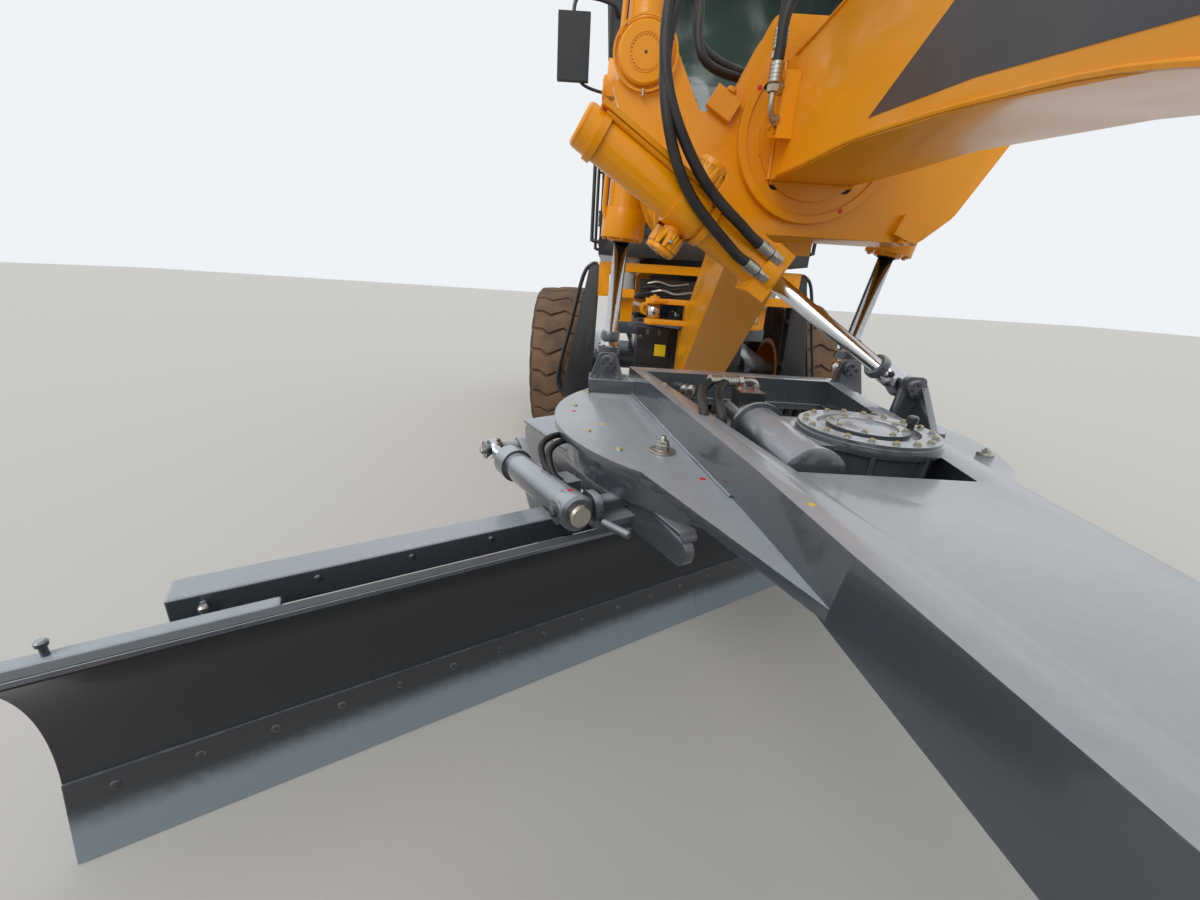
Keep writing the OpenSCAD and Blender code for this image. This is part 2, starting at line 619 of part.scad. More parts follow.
module head_lamps() {
    color(black) {
        for (s = [left, right]) side(s)
            across_x(concat([for (y = lamp_y) [y, lookup(y, beam_top) + seat]],
                            [[lamp_y[1], 1700], [lamp_y[0], 1700]]), 60, 110);
        box([-170, -650, 1600], [170, -610, 1640]);
    }
    color(lamp_white) for (s = [left, right]) side(s)
        translate([120, 0, 1740]) disc_y(95, -700, -600);
}

// FRONT AXLE

king_x = 800;
king_r = 32;
fist = [615, 735];
knuckle_gap = 6;
knuckle_t = 50;
steer_arm = 230;
steer_pin_y = 200;
steer_z = 655;
steer_rod_r = 18;
steer_barrel = [150, 500];
tie_r = 24;
tie_z = fist[0] - knuckle_gap - knuckle_t - 32;
module front_axle() {
    color(slate) difference() {
        union() {
            along_y(rounded([[-king_x, fist[0], 0], [-king_x + 100, fist[0], 0], [-300, 600, 60],
                             [-160, 580, 60], [160, 580, 60], [300, 600, 60], [king_x - 100, fist[0], 0],
                             [king_x, fist[0], 0], [king_x, fist[1], 0], [king_x - 100, fist[1], 0],
                             [260, 900, 90], [-260, 900, 90], [-king_x + 100, fist[1], 0],
                             [-king_x, fist[1], 0]]), -80, 80);
            for (s = [left, right]) side(s) {
                translate([king_x, 0, 0]) disc_z(80, fist[0], fist[1]);
                // Steering cylinder on its saddle
                translate([0, steer_pin_y, steer_z]) disc_x(38, steer_barrel[0], steer_barrel[1]);
                translate([0, steer_pin_y, steer_z]) disc_x(44, steer_barrel[1] - 40, steer_barrel[1]);
                for (x = [steer_barrel[0] + 20, steer_barrel[1] - 100])
                    box([x, 79, steer_z - 30], [x + 40, steer_pin_y - 20, steer_z + 30]);
            }
            translate([0, 0, axle_z + 140]) disc_y(40, -250, 250);
        }
        for (s = [left, right]) side(s) {
            translate([king_x, 0, 0]) disc_z(king_r + fit, 500, 900);
            translate([0, steer_pin_y, steer_z])
                disc_x(steer_rod_r + fit, steer_barrel[0] + 25, steer_barrel[1] + 1);
            // Relief for the swing of the knuckle's web
            difference() {
                box([king_x, -100, fist[0] - 50], [king_x + 200, 100, fist[1] + 50]);
                translate([king_x, 0, 0]) disc_z(80, 500, 900);
            }
        }
    }
}
module knuckle(s) {
    low = fist[0] - knuckle_gap - knuckle_t;
    color(slate) side(s) {
        for (z = [low, fist[1] + knuckle_gap]) {
            translate([king_x, 0, 0]) disc_z(75, z, z + knuckle_t);
            box([king_x, -75, z], [king_x + 120, 75, z + knuckle_t]);
        }
        box([king_x + 92, -75, low], [king_x + 130, 75, fist[1] + knuckle_gap + knuckle_t]);
        translate([king_x, 0, 0]) {
            disc_z(king_r, low - 4, fist[1] + knuckle_gap + knuckle_t + 4);
            // Pin under the steering cylinder's eye
            translate([0, steer_pin_y, 0]) disc_z(16, low, steer_z - 22 - seat);
        }
        translate([0, 0, tyre_r]) {
            disc_x(spindle_r + 30, king_x + 129, wheel_x + hub_in - 12);
            disc_x(spindle_r, king_x + 129, wheel_x + hub_out - 30);
        }
        up_z(rounded([[king_x - 60, 0, 0], [king_x + 60, 0, 0], [king_x + 36, steer_arm + 36, 34],
                      [king_x - 36, steer_arm + 36, 34]]), low, low + 36);
    }
}
module tie_rod() {
    color(slate) {
        rod_between([-king_x, steer_arm, tie_z], [king_x, steer_arm, tie_z], tie_r);
        for (s = [left, right]) side(s) translate([king_x, steer_arm, 0])
            disc_z(32, tie_z - 30, tie_z + 32 - seat);
    }
}
module steer_rod(s) {
    color(chrome) side(s) translate([0, steer_pin_y, steer_z]) {
        disc_x(steer_rod_r, steer_barrel[0] + 180, king_x);
        translate([king_x, 0, 0]) disc_z(28, -22, 22);
    }
}

// SADDLE

yoke_p = [-440, saddle_y - 255, 1627];
swing_e = [470, saddle_y - 30, 1112];
swing_d = unit(swing_e - yoke_p);
swing_w = unit([-swing_d.z, 0, swing_d.x]);
saddle_rear = saddle_y + 190;
arm_boss_r = 96;
saddle_outline = [
    [-340, 1600, 40], [420, 1600, 60], [520, 1690, 90], [690, 2010, 0], [lift_x, lift_z, 0],
    [440, 2060, 20], [330, 1960, 20], [190, 2220, 40], [-190, 2220, 40], [-300, 1990, 20],
    [-390, 1945, 20], [-500, 2140, 0], [-lift_x, lift_z, 0], [-685, 2010, 0], [-530, 1640, 0],
    [-440, 1545, 60],
];
module saddle() {
    color(yellow) difference() {
        union() {
            for (y = [[saddle_y, saddle_y + 40], [saddle_rear - 40, saddle_rear]]) {
                along_y(rounded(saddle_outline), y[0], y[1]);
            }
            for (s = [left, right]) side(s)
                translate([lift_x, 0, lift_z]) disc_y(arm_boss_r, saddle_y - 10, saddle_rear);
            translate([0, 0, saddle_z]) disc_y(tube_r + 45, saddle_y + 20, saddle_rear - 20);
            // Boss of the swing cylinder's yoke
            translate([yoke_p.x, 0, yoke_p.z]) disc_y(76, saddle_y - 70, saddle_y + 20);
            // Closing strips along the lower edge
            box([-340, saddle_y + 20, 1600], [420, saddle_rear - 20, 1625]);
        }
        translate([0, 0, saddle_z]) disc_y(tube_r + seat, saddle_y - 100, saddle_rear + 100);
        translate([yoke_p.x, 0, yoke_p.z]) disc_y(38 + fit, saddle_y - 100, saddle_y + 10);
        for (s = [left, right]) side(s)
            translate([lift_x, 0, lift_z]) disc_y(42 + fit, saddle_y + 30, saddle_rear + 100);
    }
}

lift_y = saddle_rear + 130;
lift_ring_r = lift_barrel_r + 12;
lift_ring_h = 48;
trunnion_r = 26;
lift_pin_r = 42;
foot_r = 44;
cheek_t = 24;
spacer_r = 25;
// Lower eye of a lift cylinder, for the machine's left and right
function lift_eye(s) = s == left ? [435, saddle_y + 360, 1110] : [-643, saddle_y + 360, 1075];
function lift_top(s) = [s * lift_x, lift_y, lift_z];
function lift_d(s) = unit(lift_eye(s) - lift_top(s));
// Sideways lean of a lift cylinder, which its yoke follows
function lift_lean(s) = atan2(-lift_d(s).x, -lift_d(s).z);
module lift_yoke(s) {
    inner = lift_ring_r + 5;
    color(yellow) translate([s * lift_x, 0, lift_z]) rotate([0, lift_lean(s), 0]) difference() {
        union() {
            disc_y(lift_pin_r, saddle_y + 32, saddle_rear + 10);
            box([-inner - 32, saddle_rear + 5, -56], [inner + 32, saddle_rear + 30, 56]);
            for (k = [-1, 1]) {
                box([k * (inner + 16) - 16, saddle_rear + 5, -56], [k * (inner + 16) + 16, lift_y, 56]);
                translate([0, lift_y, 0]) disc_x(56, k * (inner + 16) - 16, k * (inner + 16) + 16);
            }
        }
        translate([0, lift_y, 0]) disc_x(trunnion_r + fit, -200, 200);
    }
}
module lift_barrel(s) {
    t = lift_top(s);
    d = lift_d(s);
    color(yellow) difference() {
        union() {
            rod_between(t - d * 720, t + d * 400, lift_barrel_r);
            rod_between(t + d * 395, t + d * 505, lift_barrel_r + 16);
            rod_between(t - d * 735, t - d * 690, lift_barrel_r + 6);
            rod_between(t - d * lift_ring_h, t + d * lift_ring_h, lift_ring_r);
            translate(t) rotate([0, lift_lean(s), 0]) disc_x(trunnion_r, -lift_ring_r - 34, lift_ring_r + 34);
        }
        rod_between(t - d * 690, t + d * 600, lift_rod_r + fit);
    }
}
module lift_rod(s) {
    t = lift_top(s);
    d = lift_d(s);
    e = lift_eye(s);
    color(chrome) rod_between(t - d * 150, e, lift_rod_r);
    color(slate) {
        translate(e) sphere(r = foot_r);
        rod_between(e - d * 90, e, lift_rod_r + 7);
    }
}

// SWING CYLINDER

module swing_yoke() {
    lean = 90 - atan2(swing_w.z, swing_w.x);
    back = saddle_y - yoke_p.y;
    color(yellow) {
        translate([yoke_p.x, 0, yoke_p.z]) disc_y(38, saddle_y - 90, saddle_y + 5);
        translate(yoke_p) rotate([0, lean, 0]) box([-46, back - 112, -124], [46, back - 82, 124]);
        for (k = [-1, 1]) difference() {
            union() {
                rod_between(yoke_p + swing_w * k * 80, yoke_p + swing_w * k * 124, 50);
                translate(yoke_p + swing_w * k * 102) rotate([0, lean, 0])
                    box([-46, 0, -22], [46, back - 90, 22]);
            }
            rod_between(yoke_p + swing_w * k * 60, yoke_p + swing_w * k * 112, 28 + fit);
        }
    }
}
module swing_barrel() {
    p = yoke_p;
    d = swing_d;
    color(yellow) difference() {
        union() {
            rod_between(p - d * 365, p + d * 300, swing_barrel_r);
            rod_between(p + d * 290, p + d * 350, swing_barrel_r + 14);
            rod_between(p - d * 48, p + d * 48, swing_barrel_r + 8);
            rod_between(p - swing_w * 111, p + swing_w * 111, 28);
        }
        rod_between(p - d * 350, p + d * 400, swing_rod_r + fit);
    }
}
module swing_rod() {
    color(chrome) rod_between(yoke_p + swing_d * 100, swing_e - swing_d * 60, swing_rod_r);
    color(slate) {
        rod_between(swing_e - swing_d * 120, swing_e - swing_d * 10, 38);
        translate(swing_e) sphere(r = foot_r);
    }
}

// DRAWBAR: its own frame has the ball at the origin and the circle straight behind it

module on_drawbar() {
    translate([0, ball_y, 0]) rotate([0, 0, drawbar_yaw]) children();
}
module on_circle() {
    translate([circle_c.x, circle_c.y, 0]) rotate([0, 0, blade_angle]) children();
}
disc_low = 915;
disc_top = 940;
bar_top = 1050;
// Half widths of the drawbar, outside, as [distance from the ball, half width]
bar_rows = [
    [0, 66], [130, 84], [520, 170], [1080, 246], [circle_reach - 793, 287], [circle_reach + 430, 478],
];
opening_rows = [[circle_reach - 820, 195], [circle_reach + 330, 405]];
tongue_low = 850;
ball_r = 64;
ball_pin_r = 30;
foot_gap = 3;
swing_gap = 3;
module drawbar_ball() {
    color(slate) translate([0, ball_y, ball_z]) {
        sphere(r = ball_r);
        disc_x(cross_r, -cheek_x - 30, cheek_x + 30);
        disc_z(ball_pin_r, tongue_low - 10 - ball_z, bar_top + 10 - ball_z);
    }
}
// Upright cheek in front of a ball at p, in the drawbar's frame, from height z0 with half width w;
// its spacer of length n ends a gap short of the ball
module foot_cheek(p, z0, w, n, gap) {
    y = p.y - foot_r - gap - n;
    along_y(rounded([[p.x - w, z0, 0], [p.x + w, z0, 0], [p.x + 38, p.z + 42, 24], [p.x - 38, p.z + 42, 24]]),
            y - cheek_t, y);
    translate([p.x, 0, p.z]) {
        disc_y(spacer_r, y - cheek_t + 1, y + n);
        disc_y(32, y - cheek_t - 22, y - cheek_t + 1);
    }
}
module drawbar() {
    color(slate) on_drawbar() difference() {
        union() {
            intersection() {
                up_z(concat([for (r = bar_rows) [r[1], r[0]]],
                            [for (k = [len(bar_rows) - 1 : -1 : 0]) [-bar_rows[k][1], bar_rows[k][0]]]),
                     tongue_low, bar_top);
                across_x([[-1, tongue_low], [250, tongue_low], [760, 890], [circle_reach - 930, disc_low],
                          [circle_reach - 730, disc_top - 1], [circle_reach + 470, disc_top - 1],
                          [circle_reach + 470, bar_top], [-1, bar_top]], -disc_r, disc_r);
            }
            disc_z(66, tongue_low, bar_top);
            translate([0, circle_reach, 0]) disc_z(disc_r, disc_low, disc_top);
            up_z([[250, circle_reach - 1130], [500, circle_reach - 600], [-500, circle_reach - 600],
                  [-250, circle_reach - 1130]],
                 disc_low, disc_top);
            // Corner brackets with the cheeks of the lift cylinders' feet
            for (s = [left, right]) {
                f = drawbar_point(lift_eye(s));
                box([min(f.x - 80, s * 440), f.y - 110, disc_top - 1],
                    [max(f.x + 80, s * 440), f.y + 60, 1000]);
                foot_cheek(f, 999, 78, 12, foot_gap);
            }
            // Bracket of the swing cylinder's eye
            f = drawbar_point(swing_e);
            box([f.x - 180, f.y - 230, disc_top - 1], [f.x + 60, f.y - 75, 985]);
            foot_cheek(f, 984, 60, 26, swing_gap);
            across_x(rounded([[f.y - 230, 984, 0], [f.y - 80, 984, 0], [f.y - 80, f.z + 20, 0],
                              [f.y - 110, f.z + 20, 30]]), f.x + 10, f.x + 34);
        }
        up_z([[-opening_rows[0][1], opening_rows[0][0]], [opening_rows[0][1], opening_rows[0][0]],
              [opening_rows[1][1], opening_rows[1][0]], [-opening_rows[1][1], opening_rows[1][0]]],
             disc_low - 10, bar_top + 200);
        disc_z(ball_pin_r + fit, tongue_low - 10, bar_top + 10);
        // Fork gap round the ball
        box([-120, -100, ball_z - ball_r - 4], [120, ball_r + 12, ball_z + ball_r + 4]);
    }
}
// A machine point in the drawbar's own frame
function drawbar_point(p) =
    let (x = p.x, y = p.y - ball_y, c = cos(drawbar_yaw), n = sin(drawbar_yaw))
    [x * c + y * n, -x * n + y * c, p.z];

drive_c = [78, circle_reach - 575];
module circle_drive() {
    color(slate) on_drawbar() {
        // Base plate let into the drawbar's window
        up_z([[-opening_rows[0][1] + seat, opening_rows[0][0] + seat],
              [opening_rows[0][1] - seat, opening_rows[0][0] + seat], [268, circle_reach - 400],
              [-268, circle_reach - 400]],
             disc_low + seat, disc_top);
        translate([drive_c.x, drive_c.y, 0]) {
            disc_z(156, disc_top - 1, 1062);
            disc_z(172, 1061, 1084);
            disc_z(70, 1083, 1096);
            // Worm housing along the drive's right side, with the motor at its rear
            translate([-205, 0, 1010]) {
                disc_y(70, -170, 210);
                box([0, -110, -72], [150, 150, 60]);
                disc_y(56, 209, 420);
            }
        }
    }
}

// CIRCLE: its own frame has X along the blade and Y to the rear

arm_t = 32;
arm_top = 801;
arm_low = 696;
pivot = [330, 300];
pivot_r = 35;
tip_x = -860;
tip_front = [tip_x, -110, 790];
tip_rear = [tip_x, 560, 750];
tip_pin_r = 24;
module circle() {
    color(slate) on_circle() difference() {
        union() {
            difference() {
                disc_z(ring_r, disc_low - ring_h, disc_low - seat);
                disc_z(ring_in_r, disc_low - ring_h - 1, disc_low + 1);
            }
            // Deck plate from the ring to the side arms
            difference() {
                up_z(rounded([[-arm_x - 20, -180, 60], [arm_x + 20, -180, 60], [arm_x + 20, 700, 60],
                              [300, 760, 0], [-300, 760, 0], [-arm_x - 20, 700, 60]]),
                     disc_low - ring_h - 15, disc_low - ring_h + 1);
                disc_z(ring_in_r, disc_low - ring_h - 30, disc_low);
            }
            for (s = [left, right]) side(s)
                across_x(rounded([[-390, arm_low, 30], [280, arm_low, 30], [305, 610, 30], [300, 470, 60],
                                  [pivot.x - 68, 300, 60], [pivot.x - 40, 236, 60], [pivot.x + 45, 236, 60],
                                  [pivot.x + 85, 330, 60], [pivot.x + 100, 560, 80], [700, 690, 60],
                                  [720, arm_top, 40], [-200, arm_top, 60], [-390, 765, 30]]),
                         arm_x - arm_t / 2, arm_x + arm_t / 2);
            // Lug and pin of the tip cylinder
            across_x(rounded([[tip_front.y - 60, 730, 30], [tip_front.y + 60, 730, 30],
                              [tip_front.y + 40, tip_front.z + 40, 38], [tip_front.y - 40, tip_front.z + 40, 38]]),
                     tip_x + 56, tip_x + 80);
            box([tip_x + 60, tip_front.y - 50, 731], [-arm_x, tip_front.y + 50, 750]);
            translate([0, tip_front.y, tip_front.z]) disc_x(tip_pin_r, tip_x - 45, -arm_x);
        }
        for (s = [left, right]) side(s)
            translate([0, pivot.x, pivot.y]) disc_x(pivot_r + fit, arm_x - 40, arm_x + 40);
    }
}

// BLADE

frame_x = arm_x + 50;
frame_t = 36;
shift_y = 212;
shift_z = 370;
shift_barrel_r = 38;
module tilt_frame() {
    color(slate) on_circle() {
        difference() {
            union() {
                for (s = [left, right]) side(s)
                    across_x(rounded([[163, 170, 10], [200, 130, 20], [pivot.x + 60, 200, 60],
                                      [pivot.x + 75, 340, 60], [310, 670, 40], [163, 670, 20]]),
                             frame_x, frame_x + frame_t);
                // Side-shift cylinder between the plates
                translate([0, shift_y, shift_z]) disc_x(shift_barrel_r, -frame_x - 1, frame_x + 1);
            }
            for (s = [left, right]) side(s) for (b = rails)
                box([frame_x - 1, b[0] - seat, b[1] - seat], [frame_x + 37, b[2] + seat, b[3] + seat]);
            translate([0, shift_y, shift_z]) disc_x(shift_r + fit, -frame_x + 60, frame_x + 60);
        }
        for (s = [left, right]) side(s)
            translate([0, pivot.x, pivot.y]) disc_x(pivot_r, arm_x - 30, frame_x + 10);
        // Horn for the tip cylinder's rod
        across_x(rounded([[250, 590, 15], [335, 430, 40], [tip_rear.y + 40, tip_rear.z - 10, 30],
                          [tip_rear.y + 10, tip_rear.z + 45, 28], [tip_rear.y - 45, tip_rear.z + 20, 30]]),
                 -frame_x - frame_t - 30, -frame_x - frame_t + 1);
        translate([0, tip_rear.y, tip_rear.z]) disc_x(tip_pin_r, tip_x - 35, -frame_x - 40);
    }
}
shift_r = 20;
rail_end = 262;
// The blade's slide rails, as [front y, low z, rear y, top z]
rails = [[175, 215, 225, 265], [135, 540, 235, 628]];
module moldboard() {
    curve = arc_points(edge_top, lip, blade_r, 12);
    c = arc_centre(edge_top, lip, blade_r);
    back = [for (p = curve) c + (p - c) * (blade_r + blade_t) / blade_r];
    color(slate) on_circle() translate([blade_shift, 0, 0]) {
        across_x(concat(curve, [for (k = [len(back) - 1 : -1 : 0]) back[k]]), -blade_len / 2, blade_len / 2);
        // Cutting edge bolted to the front of the moldboard's foot
        across_x([edge_foot, edge_top, edge_top + [edge_t, 0], edge_foot + [edge_t, 0]],
                 -blade_len / 2, blade_len / 2);
        for (b = rails)
            box([-blade_len / 2 + rail_end, b[0], b[1]], [blade_len / 2 - rail_end, b[2], b[3]]);
        for (x = [-blade_len / 2 + 350, blade_len / 2 - 390])
            across_x([[130, 200], [rails[0][2], 200], [shift_y + 40, 320], [shift_y + 40, 400],
                      [rails[1][2], 541], [80, 541]], x, x + 40);
        // Stiffening bars behind the lip at both ends
        for (s = [left, right]) side(s)
            box([blade_len / 2 - 500, lip.x + 40, lip.y - 28], [blade_len / 2, lip.x + 84, lip.y - 2]);
        translate([0, shift_y, shift_z]) disc_x(shift_r, -blade_shift - frame_x + 585, blade_len / 2 - 360);
    }
}
module tip_barrel() {
    d = unit(tip_rear - tip_front);
    color(slate) on_circle() difference() {
        union() {
            rod_between(tip_front + d * 20, tip_front + d * 500, 50);
            translate(tip_front) disc_x(42, -30, 30);
        }
        rod_between(tip_front + d * 60, tip_rear, 20 + fit);
        translate(tip_front) disc_x(tip_pin_r + fit, -60, 60);
    }
}
module tip_rod() {
    d = unit(tip_rear - tip_front);
    color(chrome) on_circle() difference() {
        union() {
            rod_between(tip_front + d * 230, tip_rear, 20);
            translate(tip_rear) disc_x(40, -22, 22);
        }
        translate(tip_rear) disc_x(24 + 12, -40, 40);
    }
}

placed() { rear_frame(); }
placed() cab_support();
placed() rear_axle();
placed() engine_block();
placed() engine_hood();
placed() exhaust_stack();
placed() { cab_shell(); door_hinge_pins(); }
placed() cab_glass();
placed() seat_cushion();
placed() console();
placed() ladders();
placed() rear_lamps();
placed() door(left);  // door_left
placed() door(right);  // door_right
placed() door_glass(left);  // door_glass_left
placed() door_glass(right);  // door_glass_right
placed() tyre_at(left, 0);  // tyre_front_left
placed() tyre_at(right, 0);  // tyre_front_right
placed() tyre_at(left, middle_y);  // tyre_middle_left
placed() tyre_at(right, middle_y);  // tyre_middle_right
placed() tyre_at(left, rear_y);  // tyre_rear_left
placed() tyre_at(right, rear_y);  // tyre_rear_right
placed() rim_at(left, 0);  // rim_front_left
placed() rim_at(right, 0);  // rim_front_right
placed() rim_at(left, middle_y);  // rim_middle_left
placed() rim_at(right, middle_y);  // rim_middle_right
placed() rim_at(left, rear_y);  // rim_rear_left
placed() rim_at(right, rear_y);  // rim_rear_right
placed() front_frame();
placed() head_lamps();
placed() front_axle();
placed() knuckle(left);  // knuckle_left
placed() knuckle(right);  // knuckle_right
placed() tie_rod();
placed() steer_rod(left);  // steer_rod_left
placed() steer_rod(right);  // steer_rod_right
placed() hinge_barrel(left);  // hinge_barrel_left
placed() hinge_barrel(right);  // hinge_barrel_right
placed() hinge_rod(left);  // hinge_rod_left
placed() hinge_rod(right);  // hinge_rod_right
placed() saddle();
placed() lift_yoke(left);  // lift_yoke_left
placed() lift_yoke(right);  // lift_yoke_right
placed() lift_barrel(left);  // lift_barrel_left
placed() lift_barrel(right);  // lift_barrel_right
placed() lift_rod(left);  // lift_rod_left
placed() lift_rod(right);  // lift_rod_right
placed() swing_yoke();
placed() swing_barrel();
placed() swing_rod();
placed() drawbar_ball();
placed() drawbar();
placed() circle_drive();
placed() circle();
placed() tilt_frame();
placed() moldboard();
placed() tip_barrel();
placed() tip_rod();
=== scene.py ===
"""Finishes, fastenings, hoses and trim of an articulated motor grader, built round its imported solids."""

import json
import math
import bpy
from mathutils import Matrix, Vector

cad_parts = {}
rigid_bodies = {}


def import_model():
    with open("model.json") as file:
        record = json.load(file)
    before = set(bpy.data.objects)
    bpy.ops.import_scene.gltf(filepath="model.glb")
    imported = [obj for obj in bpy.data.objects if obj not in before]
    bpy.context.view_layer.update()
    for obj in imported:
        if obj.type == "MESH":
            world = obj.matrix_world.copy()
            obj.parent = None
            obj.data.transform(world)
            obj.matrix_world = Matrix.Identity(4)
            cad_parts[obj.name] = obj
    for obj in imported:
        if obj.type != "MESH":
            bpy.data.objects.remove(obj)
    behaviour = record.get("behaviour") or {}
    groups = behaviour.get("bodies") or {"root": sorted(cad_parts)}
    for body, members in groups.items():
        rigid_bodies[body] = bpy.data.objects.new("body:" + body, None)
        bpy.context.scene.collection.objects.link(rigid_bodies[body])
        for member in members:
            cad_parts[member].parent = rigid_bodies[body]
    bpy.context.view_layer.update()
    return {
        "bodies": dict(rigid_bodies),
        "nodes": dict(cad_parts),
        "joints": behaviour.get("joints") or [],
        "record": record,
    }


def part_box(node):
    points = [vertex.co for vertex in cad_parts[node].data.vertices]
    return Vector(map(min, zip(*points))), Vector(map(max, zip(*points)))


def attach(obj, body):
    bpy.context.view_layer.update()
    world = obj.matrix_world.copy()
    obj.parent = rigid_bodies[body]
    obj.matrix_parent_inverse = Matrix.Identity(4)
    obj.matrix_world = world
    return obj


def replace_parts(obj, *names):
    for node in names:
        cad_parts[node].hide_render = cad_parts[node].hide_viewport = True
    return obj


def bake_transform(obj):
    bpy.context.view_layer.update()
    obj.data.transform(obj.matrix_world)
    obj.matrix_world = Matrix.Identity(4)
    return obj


bl_info = {
    "name": "Motor grader dressing",
    "version": (1, 0, 0),
    "blender": (4, 5, 0),
    "location": "View3D > Sidebar > Grader",
    "description": "Finishes, fastenings, hoses and trim of an articulated motor grader",
    "category": "Object",
}

import bmesh
import bpy
from mathutils import Matrix, Vector

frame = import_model()
NODES = frame["nodes"]

MM = 0.001
LEFT, RIGHT = 1, -1
SIDES = {"left": LEFT, "right": RIGHT}


# PLACES


def middle(node):
    """Middle of a node's box."""
    lo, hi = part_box(node)
    return (lo + hi) / 2


# The machine's own origin lies under the middle of the front axle
AXLE = Vector((middle("front_axle").x, middle("rim_front_left").y, 0))
WHEEL_X = (middle("rim_front_left").x - AXLE.x) / MM
WHEEL_Z = middle("rim_front_left").z / MM
MIDDLE_Y = (middle("rim_middle_left").y - AXLE.y) / MM
REAR_Y = (middle("rim_rear_left").y - AXLE.y) / MM
BALL_Y = 480.0
YAW = math.radians(1.3)
WHEELBASE = 6280.0
# From the drawbar's ball to the circle's middle
REACH = WHEELBASE * 0.3551
BLADE_TURN = math.radians(32)
BLADE_SHIFT = -93.0
BLADE_LEN = 3980.0
CIRCLE = Vector((-REACH * math.sin(YAW), BALL_Y + REACH * math.cos(YAW), 0))

UP, DOWN = Vector((0, 0, 1)), Vector((0, 0, -1))
FORE, AFT = Vector((0, -1, 0)), Vector((0, 1, 0))
# Frames for outlines: across the machine as (y, z), and along it as (x, z) with height towards the nose
ACROSS = Matrix(((0, 0, 1, 0), (1, 0, 0, 0), (0, 1, 0, 0), (0, 0, 0, 1)))
ALONG = Matrix(((1, 0, 0, 0), (0, 0, -1, 0), (0, 1, 0, 0), (0, 0, 0, 1)))

MACHINE = Matrix.Translation(AXLE) @ Matrix.Scale(MM, 4)
DRAWBAR = MACHINE @ Matrix.Translation((0, BALL_Y, 0)) @ Matrix.Rotation(YAW, 4, "Z")
TABLE = MACHINE @ Matrix.Translation(CIRCLE) @ Matrix.Rotation(BLADE_TURN, 4, "Z")
BLADE = TABLE @ Matrix.Translation((BLADE_SHIFT, 0, 0))

SADDLE_Y = BALL_Y + REACH + 60
SADDLE_FACE, SADDLE_REAR, SADDLE_Z = SADDLE_Y - 22, SADDLE_Y + 190, 1900
LIFT_TOP = {s: Vector((s * 585, SADDLE_Y + 320, 2090)) for s in (LEFT, RIGHT)}
LIFT_EYE = {LEFT: Vector((435, SADDLE_Y + 360, 1110)), RIGHT: Vector((-643, SADDLE_Y + 360, 1075))}
LIFT_LEAN = {LEFT: math.radians(8.70), RIGHT: math.radians(3.27)}
SWING_TOP = Vector((-440, SADDLE_Y - 255, 1627))
SWING_EYE = Vector((470, SADDLE_Y - 30, 1112))
SWING_DIR = (SWING_EYE - SWING_TOP).normalized()
# Blade's section as (y, height) in its own frame
EDGE_FOOT, EDGE_TOP, BLADE_LIP = Vector((65, 2)), Vector((125, 200)), Vector((-20, 620))
BLADE_RADIUS, BLADE_PLATE, EDGE_PLATE = 400.0, 20.0, Vector((19, 0))
BLADE_RAILS = (((175, 215), (225, 265)), ((135, 540), (235, 628)))
RAIL_END = 262.0
TIP_FRONT = Vector((-860, -110, 790))
TIP_REAR = Vector((-860, 560, 750))
BEAM_ROWS = [  # y, underside z, height
    (-700, 985, 330), (-250, 985, 380), (150, 1040, 400), (600, 1215, 380), (1000, 1420, 360),
    (1480, 1618, 345), (1790, 1678, 340), (2160, 1726, 335), (2460, 1740, 332), (2750, 1761, 330),
]
BEAM_HALF = 140


def beam_z(y, share):
    """Height of the beam at y: share 0 is its underside and 1 its top."""
    for (y0, z0, h0), (y1, z1, h1) in zip(BEAM_ROWS, BEAM_ROWS[1:]):
        if y0 <= y <= y1:
            t = (y - y0) / (y1 - y0)
            return z0 + (z1 - z0) * t + (h0 + (h1 - h0) * t) * share
    raise ValueError(f"the beam has no section at {y}")


# SHADERS


def shade(red, green, blue):
    """Linear colour of a screen colour in 0 to 255."""
    return tuple((c / 255) ** 2.2 for c in (red, green, blue)) + (1.0,)


class Value:
    """A shader socket in a Python sum: each operator adds its Math node."""

    def __init__(self, shader, socket):
        self.shader, self.socket = shader, socket

    def _math(self, operation, *terms):
        return self.shader.node("Math", {"operation": operation}, dict(enumerate(terms)))

    def __add__(self, other):
        return self._math("ADD", self, other)

    def __sub__(self, other):
        return self._math("SUBTRACT", self, other)

    def __rsub__(self, other):
        return self._math("SUBTRACT", other, self)

    def __mul__(self, other):
        return self._math("MULTIPLY", self, other)

    def most(self, other):
        """The larger of the two."""
        return self._math("MAXIMUM", self, other)

    __radd__ = __add__
    __rmul__ = __mul__


class Shader:
    """The nodes of one material or world."""

    def __init__(self, owner):
        owner.use_nodes = True
        self.tree = owner.node_tree
        self.tree.nodes.clear()

    def node(self, kind, settings=None, inputs=None, out=0):
        """A node of that type, with its settings made first and its sockets then set or linked."""
        made = self.tree.nodes.new("ShaderNode" + kind)
        for key, value in (settings or {}).items():
            setattr(made, key, value)
        for key, value in (inputs or {}).items():
            if isinstance(value, Value):
                self.tree.links.new(value.socket, made.inputs[key])
            else:
                made.inputs[key].default_value = value
        return Value(self, made.outputs[out]) if made.outputs else None


